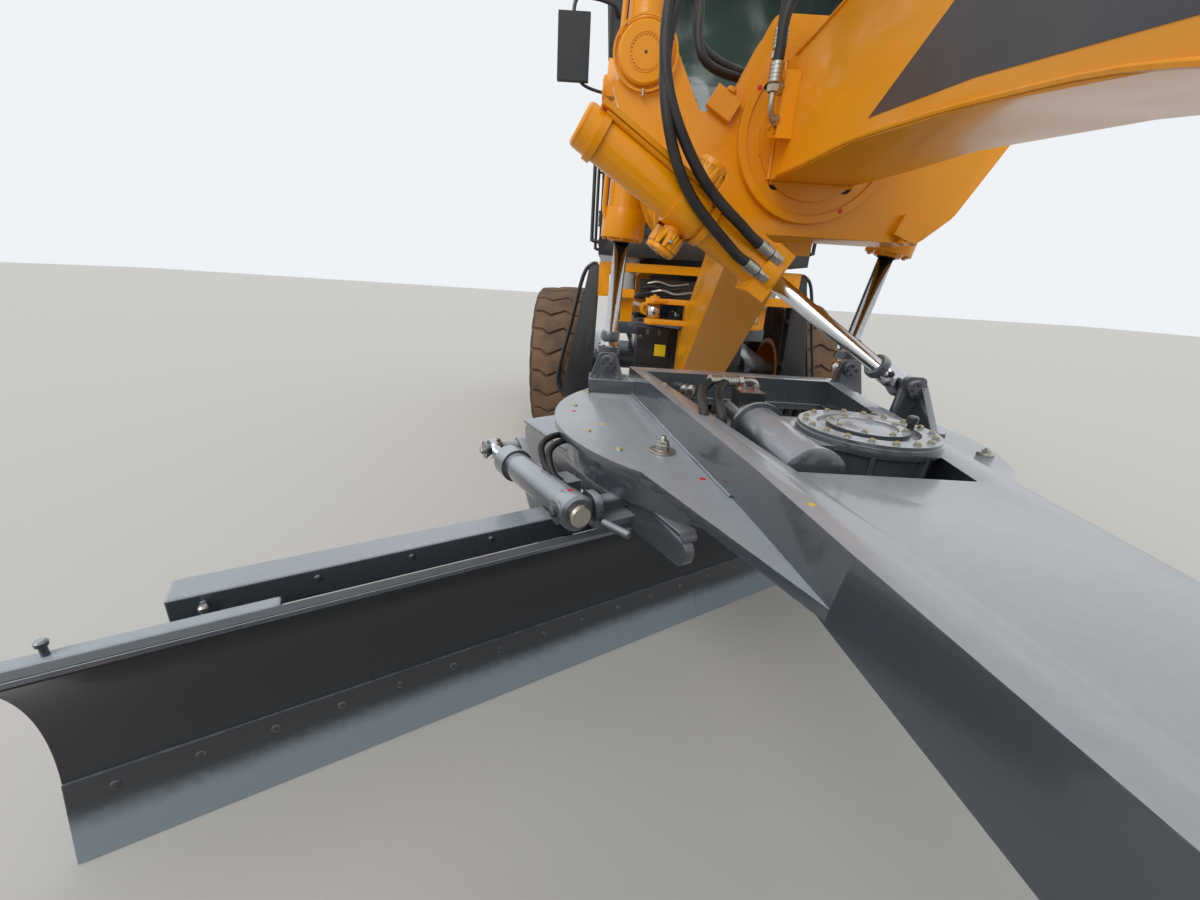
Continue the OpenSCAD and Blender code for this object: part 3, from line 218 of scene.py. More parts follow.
class Finish(Shader):
    """One procedural material, named for the finish it gives."""

    def __init__(self, name):
        self.material = bpy.data.materials.new(name)
        super().__init__(self.material)

    def place(self):
        return self.node("TexCoord", out=3)

    def scaled(self, x, y, z):
        """The object's own coordinates, stretched along each axis."""
        return self.node("VectorMath", {"operation": "MULTIPLY"}, {0: self.place(), 1: (x, y, z)})

    def noise(self, scale, detail=3, vector=None, distortion=0.0):
        return self.node("TexNoise", None, {
            "Vector": vector or self.place(), "Scale": scale, "Detail": detail,
            "Distortion": distortion})

    def step(self, value, low, high):
        """0 below low, 1 above high, smooth between."""
        return self.node("MapRange", {"interpolation_type": "SMOOTHSTEP"},
                         {0: value, 1: low, 2: high, 3: 0.0, 4: 1.0})

    def mix(self, factor, a, b):
        return self.node("Mix", {"data_type": "RGBA"}, {0: factor, 6: a, 7: b}, 2)

    def facing(self, axis):
        """How far the surface faces along an axis of its own frame."""
        normal = self.node("TexCoord", out=1)
        return self.node("SeparateXYZ", None, {0: normal}, "XYZ".index(axis))

    def edge(self, radius):
        """1 on outer and inner edges within that radius, in metres, and 0 on flats."""
        bent = self.node("Bevel", {"samples": 4}, {"Radius": radius})
        plain = self.node("NewGeometry", out=1)
        even = self.node("VectorMath", {"operation": "DOT_PRODUCT"}, {0: bent, 1: plain}, 1)
        return self.step(1 - even, 0.02, 0.25)

    def bump(self, height, distance, strength=1.0):
        return self.node("Bump", None, {"Strength": strength, "Distance": distance, "Height": height})

    def surface(self, **sockets):
        """Closes the material with a Principled surface."""
        named = {key.replace("_", " "): value for key, value in sockets.items()}
        shader = self.node("BsdfPrincipled", None, named)
        self.node("OutputMaterial", None, {0: shader})
        return self.material


def painted(name, colour, dust_and_sheen_colour, dust_and_sheen, rough, coat=0.6, grain=1.0, chips=None, shine=0.5, reflection_band=None):
    """Sprayed paint with dust and a painted sky sheen on what faces up, a faint share of that film elsewhere
    and rubbed edges.

    The reflection band is (colour, low, high): a painted reflection that turns the paint to that colour from
    the high to the low height.
    """
    f = Finish(name)
    cloud = f.noise(1.7, 4)
    fine = f.noise(38, 5)
    speck = f.noise(420, 2)
    base = f.mix(cloud, colour, tuple(c * 0.86 for c in colour[:3]) + (1.0,))
    # Painted reflection: the paint turns lighter towards the bottom, standing in for the bright ground it
    # mirrors
    if reflection_band:
        height = f.node("SeparateXYZ", None, {0: f.place()}, 2)
        reflected = 1 - f.step(height + cloud * 0.04 + fine * 0.02, reflection_band[1], reflection_band[2])
        base = f.mix(reflected, base, reflection_band[0])
    # Pale film on what faces up, partly dust and partly a painted sheen of the sky, with a faint share of it
    # on other faces
    up = f.step(f.facing("Z"), 0.2, 0.85)
    spread = f.step(cloud * 0.75 + fine * 0.25, 0.3, 0.7) * 0.22 + 0.78
    film = spread * (up * 0.94 + 0.06) * dust_and_sheen
    base = f.mix(film, base, dust_and_sheen_colour)
    spots = f.step(speck, 0.68, 0.75) * up * dust_and_sheen * 0.35
    base = f.mix(spots, base, dust_and_sheen_colour)
    wear_and_shade = f.edge(0.006) * f.step(fine, 0.42, 0.6)
    if chips:
        base = f.mix(wear_and_shade * chips[1], base, chips[0])
    streak = f.noise(9, 3, f.scaled(1, 1, 0.12))
    roughness = film * 0.12 + streak * 0.10 + (rough - 0.05)
    wave = f.noise(95, 2) * 0.6 + f.noise(700, 2) * 0.12 * grain
    return f.surface(Base_Color=base, Roughness=roughness, Coat_Weight=coat - film * 0.25 * coat,
                     Coat_Roughness=0.10, Specular_IOR_Level=shine,
                     Normal=f.bump(wave, 0.0009, 0.3))


def rubber(name, bare, mud, share):
    """Tyre rubber: the tread is caked with dry mud and the sidewalls carry a thin film of it."""
    f = Finish(name)
    side = f.facing("X")
    flat = 1 - f.step(side * side, 0.15, 0.6)
    cloud = f.noise(6, 5)
    grit = f.noise(150, 4)
    cake = f.step(cloud * 0.6 + grit * 0.4, 0.32, 0.6)
    base = f.mix(flat * (cake * 0.45 + 0.5) * share + cake * 0.22, bare, mud)
    pale = tuple(min(1, c * 1.5) for c in mud[:3]) + (1.0,)
    base = f.mix(f.step(grit, 0.55, 0.75) * flat * 0.5 * share, base, pale)
    return f.surface(Base_Color=base, Roughness=grit * 0.25 + 0.68,
                     Normal=f.bump(grit * 0.7 + cloud * 0.3, 0.004, 0.5))


def bright_metal(name, colour, rough, lines):
    """Bare metal with fine lines and dull scuffs."""
    f = Finish(name)
    scuff = f.noise(60, 4)
    fine = f.noise(lines, 3)
    base = f.mix(scuff, colour, tuple(c * 0.8 for c in colour[:3]) + (1.0,))
    return f.surface(Base_Color=base, Metallic=1.0, Roughness=scuff * 0.14 + (rough - 0.05),
                     Normal=f.bump(fine, 0.0004, 0.2))


def plastic(name, colour, rough, grain_scale, depth=0.0006, dust_and_sheen=0.0):
    """Grained plastic or rubber, with dust on what faces up."""
    f = Finish(name)
    grain = f.noise(grain_scale, 3)
    cloud = f.noise(12, 4)
    up = f.step(f.facing("Z"), 0.2, 0.9)
    base = f.mix(cloud * 0.35, colour, tuple(min(1, c * 1.7 + 0.01) for c in colour[:3]) + (1.0,))
    base = f.mix(f.step(cloud, 0.35, 0.7) * (up * 0.7 + 0.3) * dust_and_sheen, base, shade(122, 116, 104))
    return f.surface(Base_Color=base, Roughness=cloud * 0.16 + (rough - 0.08),
                     Normal=f.bump(grain, depth, 0.4))


def tinted_glass(name, colour, alpha):
    """Green cab glass with smears and dried rain."""
    f = Finish(name)
    smear = f.noise(5, 5)
    rain = f.noise(60, 3)
    film = f.step(smear, 0.45, 0.8)
    base = f.mix(film * 0.5, colour, shade(168, 176, 172))
    return f.surface(Base_Color=base, Roughness=film * 0.12 + rain * 0.04 + 0.02,
                     Alpha=film * 0.2 + alpha, Specular_IOR_Level=0.6, Coat_Weight=0.6,
                     Coat_Roughness=0.03)


def lens(name, colour):
    """Moulded lamp lens with fine ribs."""
    f = Finish(name)
    ribs = f.node("TexWave", {"bands_direction": "X"}, {"Vector": f.place(), "Scale": 22.0})
    cloud = f.noise(15, 3)
    base = f.mix(cloud * 0.4, colour, tuple(min(1, c * 1.3 + 0.02) for c in colour[:3]) + (1.0,))
    return f.surface(Base_Color=base, Roughness=cloud * 0.1 + 0.08, Coat_Weight=0.8,
                     Normal=f.bump(ribs, 0.0012, 0.5))


def woven(name, colour):
    """Seat cloth: a fine weave with a faint nap."""
    f = Finish(name)
    warp = f.node("TexWave", {"bands_direction": "X"}, {"Vector": f.place(), "Scale": 130.0})
    weft = f.node("TexWave", {"bands_direction": "Z"}, {"Vector": f.place(), "Scale": 130.0})
    nap = f.noise(30, 4)
    base = f.mix(warp * weft * 0.6 + nap * 0.3, colour, tuple(c * 2.2 for c in colour[:3]) + (1.0,))
    return f.surface(Base_Color=base, Roughness=nap * 0.1 + 0.85, Sheen_Weight=0.3,
                     Normal=f.bump(warp + weft, 0.0008, 0.6))


def plain(name, colour, rough):
    """Small marks and labels: flat colour with a slight mottle."""
    f = Finish(name)
    mottle = f.noise(220, 3)
    base = f.mix(mottle * 0.5, colour, tuple(c * 0.75 for c in colour[:3]) + (1.0,))
    return f.surface(Base_Color=base, Roughness=mottle * 0.1 + rough)


FINISHES = {}


def mix_finishes(paint):
    """Makes every finish once, from the colours in the panel."""
    # Pale blue-grey film for what faces up: partly dust, partly a painted sheen of the sky
    dust_and_sheen = shade(198, 206, 212)
    earth = shade(176, 172, 162)
    amber = tuple(paint.yellow) + (1.0,)
    slate = tuple(paint.slate) + (1.0,)
    # Painted shade: the blade group's slate at half its brightness, for the blade and its cutting edge
    wear_and_shade = tuple(c * 0.5 for c in paint.slate) + (1.0,)
    FINISHES.update({
        "yellow_paint": painted("yellow_paint", amber, shade(240, 176, 60), 0.06, 0.30, 0.25,
                                chips=(shade(150, 96, 20), 0.5), shine=0.3),
        # Slate tops carry a strong pale film: dust and a painted sky sheen
        "slate_paint": painted("slate_paint", slate, dust_and_sheen, 0.62, 0.27, 0.8,
                               chips=(shade(128, 136, 144), 0.6)),
        # The blade in the halved slate, its darkness painted shade
        "blade_paint": painted("blade_paint", wear_and_shade, dust_and_sheen, 0.25, 0.34, 0.2,
                               chips=(shade(132, 138, 142), 0.6), shine=0.35),
        # Cutting edge: the halved slate as painted shade above, a painted reflection lightening it towards
        # the ground, and chipped edges
        "edge_wear_shade_and_reflection": painted("edge_wear_shade_and_reflection", wear_and_shade, dust_and_sheen, 0.2, 0.36, 0.4, chips=(shade(170, 172, 170), 0.5),
                             reflection_band=(shade(122, 134, 142), 0.10, 0.17)),
        "black_paint": painted("black_paint", shade(24, 25, 27), earth, 0.30, 0.42, 0.4, 1.6,
                               chips=(shade(80, 80, 80), 0.4)),
        "chrome_rod": bright_metal("chrome_rod", shade(214, 216, 218), 0.12, 900),
        "zinc": bright_metal("zinc", shade(190, 188, 178), 0.32, 400),
        "steel": bright_metal("steel", shade(120, 116, 108), 0.42, 200),
        "tyre": rubber("tyre", shade(38, 36, 34), shade(118, 92, 70), paint.mud),
        "hose_rubber": plastic("hose_rubber", shade(26, 26, 27), 0.55, 500, 0.0008, 0.25),
        "black_plastic": plastic("black_plastic", shade(22, 22, 24), 0.55, 900, dust_and_sheen=0.2),
        # Black rubber of the seals, also used as painted shade in gaps and openings
        "seal_and_shade": plastic("seal_and_shade", shade(14, 14, 15), 0.7, 300),
        "mount_rubber": plastic("mount_rubber", shade(150, 150, 146), 0.7, 300, dust_and_sheen=0.3),
        "glass": tinted_glass("glass", shade(66, 88, 84), 0.42),
        "lamp": lens("lamp", shade(226, 228, 226)),
        "lens_red": lens("lens_red", shade(176, 18, 14)),
        "lens_amber": lens("lens_amber", shade(232, 120, 10)),
        "mirror_glass": bright_metal("mirror_glass", shade(228, 232, 234), 0.06, 60),
        "seat": woven("seat", shade(34, 36, 40)),
        "mark_red": plain("mark_red", shade(214, 40, 34), 0.5),
        "mark_yellow": plain("mark_yellow", shade(228, 196, 60), 0.5),
        "label": plain("label", shade(240, 202, 30), 0.35),
        "stripe": plastic("stripe", shade(52, 54, 58), 0.32, 200, 0.0002, 0.12),
        "floor": plain("floor", shade(206, 202, 194), 0.9),
    })


# SHAPES


def turned(axis, x_hint=None):
    """Rotation whose Z runs along axis, with its X near x_hint."""
    z = Vector(axis).normalized()
    hint = Vector(x_hint) if x_hint else (Vector((1, 0, 0)) if abs(z.x) < 0.9 else Vector((0, 1, 0)))
    y = z.cross(hint).normalized()
    x = y.cross(z)
    return Matrix((x, y, z)).transposed().to_4x4()


def frame_at(at, axis, x_hint=None):
    """Frame at a point, with its Z along the axis and its X near x_hint."""
    return Matrix.Translation(at) @ turned(axis, x_hint)


def spin(degrees, axis="Z"):
    """Turn about one of the frame's axes."""
    return Matrix.Rotation(math.radians(degrees), 4, axis)


def on(frame, *points):
    """The frame's points, in the frame it stands in."""
    return [frame @ Vector(p) for p in points]


def aim(frame, axis):
    """The frame's direction, in the frame it stands in."""
    return frame.to_3x3() @ Vector(axis)


def route(start, *offsets):
    """Points at their offsets from the start."""
    return [start + Vector(offset) for offset in offsets]


def smooth_path(points, steps=6):
    """A curve through the points, finely stepped."""
    p = [Vector(q) for q in points]
    p = [p[0] * 2 - p[1]] + p + [p[-1] * 2 - p[-2]]
    path = []
    for i in range(1, len(p) - 2):
        for k in range(steps):
            t = k / steps
            a, b, c, d = p[i - 1], p[i], p[i + 1], p[i + 2]
            path.append(0.5 * (2 * b + (c - a) * t + (2 * a - 5 * b + 4 * c - d) * t ** 2
                               + (3 * b - 3 * c + d - a) * t ** 3))
    return path + [p[-2]]


def polar(radius, angle, height=0.0):
    """Corner at that radius and angle about the frame's Z."""
    return Vector((radius * math.cos(angle), radius * math.sin(angle), height))


def ring(count, start=0.0):
    """Evenly spaced angles of a full circle."""
    return [start + 2 * math.pi * i / count for i in range(count)]


def new_object(name, data):
    """An object in the scene that shows the data."""
    made = bpy.data.objects.new(name, data)
    bpy.context.scene.collection.objects.link(made)
    return made


class Stock:
    """Shapes in millimetres of one frame, gathered into one mesh.

    A shape has the stock's own finish unless it names another.
    """

    def __init__(self, finish=None, place=MACHINE):
        self.finish, self.place = finish, place
        self.mesh = bmesh.new()
        self.finishes = []

    def skin(self, rings, finish=None, closed=False):
        """Skins rings of corners, with end caps unless the rings close on themselves."""
        finish = finish or self.finish
        if finish not in self.finishes:
            self.finishes.append(finish)
        rows = [[self.mesh.verts.new(p) for p in corners] for corners in rings]
        faces = []
        for a, b in list(zip(rows, rows[1:])) + ([(rows[-1], rows[0])] if closed else []):
            n = len(a)
            faces += [self.mesh.faces.new((a[i], a[(i + 1) % n], b[(i + 1) % n], b[i]))
                      for i in range(n)]
        if not closed:
            faces += [self.mesh.faces.new(rows[0][::-1]), self.mesh.faces.new(rows[-1])]
        for face in faces:
            face.material_index = self.finishes.index(finish)

    def lathe(self, outline, at, axis, steps=32, finish=None, closed=False):
        """Turns [(radius, height), ...] about an axis through a point."""
        turn = frame_at(at, axis)
        self.skin([[turn @ polar(r, a, h) for a in ring(steps)] for r, h in outline], finish, closed)

    def hoop(self, outline, at, axis, steps=48, finish=None):
        """Turns a closed outline that doesn't reach the axis."""
        self.lathe(outline, at, axis, steps, finish, True)

    def band(self, inner, outer, low, high, at, axis, steps=48, finish=None):
        """Plain ring between two radii and two heights."""
        self.hoop([(inner, low), (outer, low), (outer, high), (inner, high)], at, axis, steps, finish)

    def rod(self, a, b, radius, steps=20, chamfer=0.0, finish=None):
        """Round bar from a to b."""
        a, b = Vector(a), Vector(b)
        n, c = (b - a).length, chamfer
        outline = [(radius, 0), (radius, n)]
        if c:
            outline = [(radius - c, 0), (radius, c), (radius, n - c), (radius - c, n)]
        self.lathe(outline, a, b - a, steps, finish)

    def box(self, a, b, turn=None, finish=None):
        """Box between two corners, or about a turned frame."""
        low = [(a[0], a[1]), (b[0], a[1]), (b[0], b[1]), (a[0], b[1])]
        self.prism(low, a[2], b[2], turn, finish)

    def prism(self, outline, low, high, turn=None, finish=None):
        """Extrudes [(x, y), ...] along the turned frame's Z."""
        turn = turn or Matrix.Identity(4)
        self.skin([[turn @ Vector((x, y, z)) for x, y in outline] for z in (low, high)], finish)

    def tube(self, points, radius, sides=12, steps=6, finish=None):
        """A bent tube or hose through the points."""
        path = smooth_path(points, steps)
        side = None
        rings = []
        for i, p in enumerate(path):
            along = (path[min(i + 1, len(path) - 1)] - path[max(i - 1, 0)]).normalized()
            if side is None:
                side = along.orthogonal()
            side = (side - along * side.dot(along)).normalized()
            up = along.cross(side)
            rings.append([p + (side * math.cos(a) + up * math.sin(a)) * radius for a in ring(sides)])
        self.skin(rings, finish)

    def ball(self, at, radius, steps=20, rows=10, finish=None):
        """Round knob."""
        angles = [math.pi * i / rows for i in range(rows + 1)]
        self.lathe([(max(radius * math.sin(a), 0.2), -radius * math.cos(a)) for a in angles], at, UP,
                   steps, finish)

    def bolt(self, at, axis, size, finish="zinc", washer=True, stud=0.0):
        """Hexagon head, washer and, where it stands proud, its threaded end."""
        at, axis = Vector(at), Vector(axis).normalized()
        foot = 0.18 * size if washer else 0.0
        if washer:
            self.lathe([(size * 1.25, 0), (size * 1.25, foot * 0.8), (size * 1.18, foot)], at, axis, 20,
                       finish)
        self.lathe([(size, foot), (size, foot + size * 0.62), (size * 0.86, foot + size * 0.75)],
                   at, axis, 6, finish)
        if stud:
            top = foot + size * 0.7
            self.lathe([(size * 0.5, top), (size * 0.5, top + stud - 2), (size * 0.42, top + stud)],
                       at, axis, 12, finish)

    def circle_of_bolts(self, at, axis, radius, count, size, finish="zinc", start=0.0):
        """Bolts evenly round an axis, the first at the start angle in degrees."""
        turn = frame_at(at, axis)
        for a in ring(count, math.radians(start)):
            self.bolt(turn @ polar(radius, a), axis, size, finish)

    def hose_end(self, at, toward, radius, length=70):
        """Swivel nut at the point, with a crimped sleeve that runs on toward the hose."""
        r = radius
        self.lathe([(r * 1.25, 0), (r * 1.25, r * 1.1), (r * 0.8, r * 1.15)], at, toward, 6, "zinc")
        ribs = [(r * 0.8, r * 1.1)]
        count = 5
        start, pitch = r * 1.5, (length - r * 1.5) / count
        for i in range(count):
            h = start + i * pitch
            ribs += [(r * 1.28, h), (r * 1.28, h + pitch * 0.7), (r * 1.18, h + pitch * 0.78),
                     (r * 1.18, h + pitch * 0.95)]
        self.lathe(ribs + [(r * 1.05, length)], at, toward, 20, "zinc")

    def hose(self, points, radius, steps=7, far_end=True):
        """Rubber hose through the points, with a crimped sleeve at its start or at both ends."""
        p = [Vector(q) for q in points]
        self.tube(p, radius, 12, steps, "hose_rubber")
        self.hose_end(p[0], p[1] - p[0], radius)
        if far_end:
            self.hose_end(p[-1], p[-2] - p[-1], radius)

    def seam(self, points, radius=5.0):
        """Weld bead."""
        self.tube(points, radius, 8, 4)

    def piece(self, name, body, bevel=0.0, segments=2, angle=35):
        """Closes the mesh as one piece that rides on a body, or on none."""
        bmesh.ops.recalc_face_normals(self.mesh, faces=self.mesh.faces)
        self.mesh.transform(self.place)
        data = bpy.data.meshes.new(name)
        self.mesh.to_mesh(data)
        self.mesh.free()
        for finish in self.finishes:
            data.materials.append(FINISHES[finish])
        data.shade_smooth()
        data.set_sharp_from_angle(angle=math.radians(angle))
        made = new_object(name, data)
        if bevel:
            round_edges(made, bevel, segments, angle)
        if body:
            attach(made, body)
        return made


def round_edges(piece, width, segments=2, angle=35):
    """Rounds a piece's edges, in millimetres."""
    rounding = piece.modifiers.new("edges", "BEVEL")
    rounding.width = width * MM
    rounding.segments = segments
    rounding.limit_method = "ANGLE"
    rounding.angle_limit = math.radians(angle)
    rounding.harden_normals = True
    rounding.use_clamp_overlap = True
    rounding.miter_outer = "MITER_ARC"


# FINISH AND EDGE OF EACH SOLID

SOLIDS = {  # node: finish, rounding in millimetres
    "rear_frame": ("slate_paint", 5), "cab_support": ("yellow_paint", 5), "rear_axle": ("slate_paint", 8),
    "engine_block": ("slate_paint", 12), "engine_hood": ("yellow_paint", 0),
    "exhaust_stack": ("black_paint", 3), "cab_shell": ("black_paint", 8), "cab_glass": ("glass", 0),
    "console": ("black_plastic", 6), "ladders": ("black_paint", 3), "rear_lamps": ("lens_red", 5),
    "door_left": ("black_paint", 4), "door_right": ("black_paint", 4),
    "door_glass_left": ("glass", 0), "door_glass_right": ("glass", 0),
    "front_frame": ("yellow_paint", 8), "head_lamps": ("black_plastic", 3),
    "front_axle": ("slate_paint", 8), "tie_rod": ("slate_paint", 3),
    "saddle": ("yellow_paint", 5), "swing_yoke": ("yellow_paint", 5),
    "swing_barrel": ("yellow_paint", 3), "swing_rod": ("chrome_rod", 0),
    "drawbar_ball": ("steel", 2), "drawbar": ("slate_paint", 12), "circle_drive": ("slate_paint", 4),
    "circle": ("slate_paint", 7), "tilt_frame": ("slate_paint", 5),
    "tip_barrel": ("slate_paint", 3), "tip_rod": ("chrome_rod", 0),
}
PAIRED = {  # node without its side: finish, rounding
    "knuckle": ("slate_paint", 6), "steer_rod": ("chrome_rod", 0), "hinge_barrel": ("yellow_paint", 3),
    "hinge_rod": ("chrome_rod", 0), "lift_yoke": ("yellow_paint", 5), "lift_barrel": ("yellow_paint", 4),
    "lift_rod": ("chrome_rod", 0),
}
# Solids whose pierced sides stay in triangles
PIERCED = {"cab_shell", "door_left", "door_right"}


def finish_solid(node, finish, rounding):
    """Gives a solid its finish and rounds its edges without touching its own corners."""
    solid = NODES[node]
    solid.data.materials.clear()
    solid.data.materials.append(FINISHES[finish])
    solid.data.shade_smooth()
    weld = solid.modifiers.new("weld", "WELD")
    weld.merge_threshold = 2e-5
    if rounding and node not in PIERCED:
        flats = solid.modifiers.new("flats", "DECIMATE")
        flats.decimate_type = "DISSOLVE"
        flats.angle_limit = math.radians(0.5)
    if rounding:
        round_edges(solid, rounding, 3)
    else:
        solid.data.set_sharp_from_angle(angle=math.radians(35))


# SETTINGS


class GraderPaint(bpy.types.PropertyGroup):
    yellow: bpy.props.FloatVectorProperty(
        name="Machine paint", description="Colour of the frame, saddle, cylinders and hood",
        subtype="COLOR", size=3, min=0, max=1, default=shade(236, 152, 0)[:3])
    slate: bpy.props.FloatVectorProperty(
        name="Blade group paint", description="Colour of the drawbar, circle and blade",
        subtype="COLOR", size=3, min=0, max=1, default=shade(54, 60, 66)[:3])
    mud: bpy.props.FloatProperty(
        name="Mud on the tread", description="How much of the tread is caked with dry mud",
        subtype="FACTOR", min=0, max=1, default=0.85)


class GraderHardware(bpy.types.PropertyGroup):
    hose: bpy.props.FloatProperty(
        name="Hose radius", description="Outer radius of the large hydraulic hoses, in millimetres",
        min=8, max=20, default=15)


class GraderView(bpy.types.PropertyGroup):
    spot: bpy.props.FloatVectorProperty(
        name="Camera place", description="Camera, in machine millimetres", size=3,
        default=(-650, 960, 1400))
    focal: bpy.props.FloatProperty(
        name="Lens", description="Focal length on a 36 mm wide sensor, in millimetres", default=13.95)
    pitch: bpy.props.FloatProperty(
        name="Pitch", description="How far the camera looks down", subtype="ANGLE",
        default=math.radians(19.56))
    roll: bpy.props.FloatProperty(
        name="Roll", description="Turn of the camera about its line of sight", subtype="ANGLE",
        default=math.radians(3.6))
    sky: bpy.props.FloatProperty(
        name="Sky", description="Strength of the light from all round", min=0, max=2, default=0.86)
    sun: bpy.props.FloatProperty(
        name="Sun", description="Strength of the soft lamp from the front", min=0, max=5, default=1.3)


# OPERATORS


class GRADER_OT_stage(bpy.types.Operator):
    """Pale floor, soft light and the camera at the photograph's viewing angle."""
    bl_idname = "grader.stage"
    bl_label = "Stage and camera"

    def execute(self, context):
        scene = context.scene
        view = scene.grader_view
        scene.view_settings.view_transform = "Standard"
        floor = bpy.data.meshes.new("floor")
        reach = 60.0
        corners = [(-reach, -reach, 0), (reach, -reach, 0), (reach, reach, 0), (-reach, reach, 0)]
        floor.from_pydata(corners, [], [(0, 1, 2, 3)])
        floor.materials.append(FINISHES["floor"])
        ground = new_object("floor", floor)

        world = bpy.data.worlds.new("soft_sky")
        sky = Shader(world)
        seen, glossy, through = (sky.node("LightPath", out=i) for i in (0, 3, 6))
        light = sky.node("Background", None, {"Color": shade(238, 242, 248), "Strength": view.sky})
        shown = sky.node("Background", None, {"Color": shade(238, 242, 246)})
        direct = seen.most(glossy).most(through)
        sky.node("OutputWorld", None, {0: sky.node("MixShader", None, {0: direct, 1: light, 2: shown})})
        scene.world = world

        sun = bpy.data.lights.new("soft_sun", "SUN")
        sun.energy = view.sun
        sun.angle = math.radians(40)
        lamp = new_object("soft_sun", sun)
        lamp.rotation_euler = (math.radians(52), math.radians(-14), math.radians(-20))

        camera = bpy.data.cameras.new("camera")
        camera.sensor_width = 36
        camera.lens = view.focal
        camera.clip_start, camera.clip_end = 0.02, 300
        eye = new_object("camera", camera)
        ahead = Vector((0, math.cos(view.pitch), -math.sin(view.pitch)))
        level_up = Vector((0, math.sin(view.pitch), math.cos(view.pitch)))
        right = Vector((math.cos(view.roll), 0, 0)) + level_up * math.sin(view.roll)
        up = level_up * math.cos(view.roll) - Vector((math.sin(view.roll), 0, 0))
        turn = Matrix((right, up, -ahead)).transposed().to_4x4()
        eye.matrix_world = Matrix.Translation(MACHINE @ Vector(view.spot)) @ turn
        scene.camera = eye
        return {"FINISHED"}


class GRADER_OT_finishes(bpy.types.Operator):
    """Finishes and rounded edges on the machine's solids."""
    bl_idname = "grader.finishes"
    bl_label = "Finish the solids"

    def execute(self, context):
        for node, (finish, rounding) in SOLIDS.items():
            finish_solid(node, finish, rounding)
        for stem, (finish, rounding) in PAIRED.items():
            for side in SIDES:
                finish_solid(f"{stem}_{side}", finish, rounding)
        for node in NODES:
            if node.startswith("tyre_"):
                finish_solid(node, "tyre", 5)
            if node.startswith("rim_"):
                finish_solid(node, "yellow_paint", 2)
        return {"FINISHED"}


# SMALL PARTS THAT SEVERAL GROUPS SHARE


def arc(cx, cy, radius, start, end, steps=8):
    """Points of an arc, in degrees."""
    angles = [math.radians(start + (end - start) * i / steps) for i in range(steps + 1)]
    return [(cx + radius * math.cos(a), cy + radius * math.sin(a)) for a in angles]


def span(side, near, far):
    """The x range between two distances from the machine's middle, on one side."""
    return sorted((side * near, side * far))


def boss_cap(stock, at, axis, radius, screws=3):
    """Bolted end cap of a trunnion, with sunk socket screws."""
    stock.lathe([(radius, 0), (radius, 12), (radius - 5, 17)], at, axis, 40)
    turn = frame_at(at, axis)
    for a in ring(screws, 0.5):
        spot = turn @ polar(radius * 0.62, a, 13)
        stock.lathe([(radius * 0.2, 0), (radius * 0.2, 5.5)], spot, axis, 16, "black_paint")
        stock.lathe([(radius * 0.15, 0), (radius * 0.15, 7)], spot, axis, 6)


def nipple(stock, at, axis):
    """Grease nipple."""
    stock.lathe([(7, 0), (7, 6)], at, axis, 6, "zinc")
    stock.lathe([(4, 6), (4.5, 10), (3, 13), (5, 16), (3.5, 20)], at, axis, 12, "zinc")


def dot(stock, at, axis, radius, finish=None):
    """Inspector's dab of paint."""
    stock.lathe([(radius, 0), (radius * 0.9, 0.9), (radius * 0.4, 1.3)], at, axis, 14, finish)


def side_frame(side, x, depth):
    """Frame of an outline as (y, z) on one side of the machine, from which the depth runs outward."""
    return Matrix.Translation((side * x + min(side, 0) * depth, 0, 0)) @ ACROSS


def pane_frame(stock, low, high, width, depth, turn, finish=None):
    """A rectangular strip round a pane, in the turned frame."""
    (x0, y0), (x1, y1) = low, high
    for a, b in (((x0, y0), (x1, y0 + width)), ((x0, y1 - width), (x1, y1)),
                 ((x0, y0 + width), (x0 + width, y1 - width)), ((x1 - width, y0 + width), (x1, y1 - width))):
        stock.box((*a, 0), (*b, depth), turn, finish)


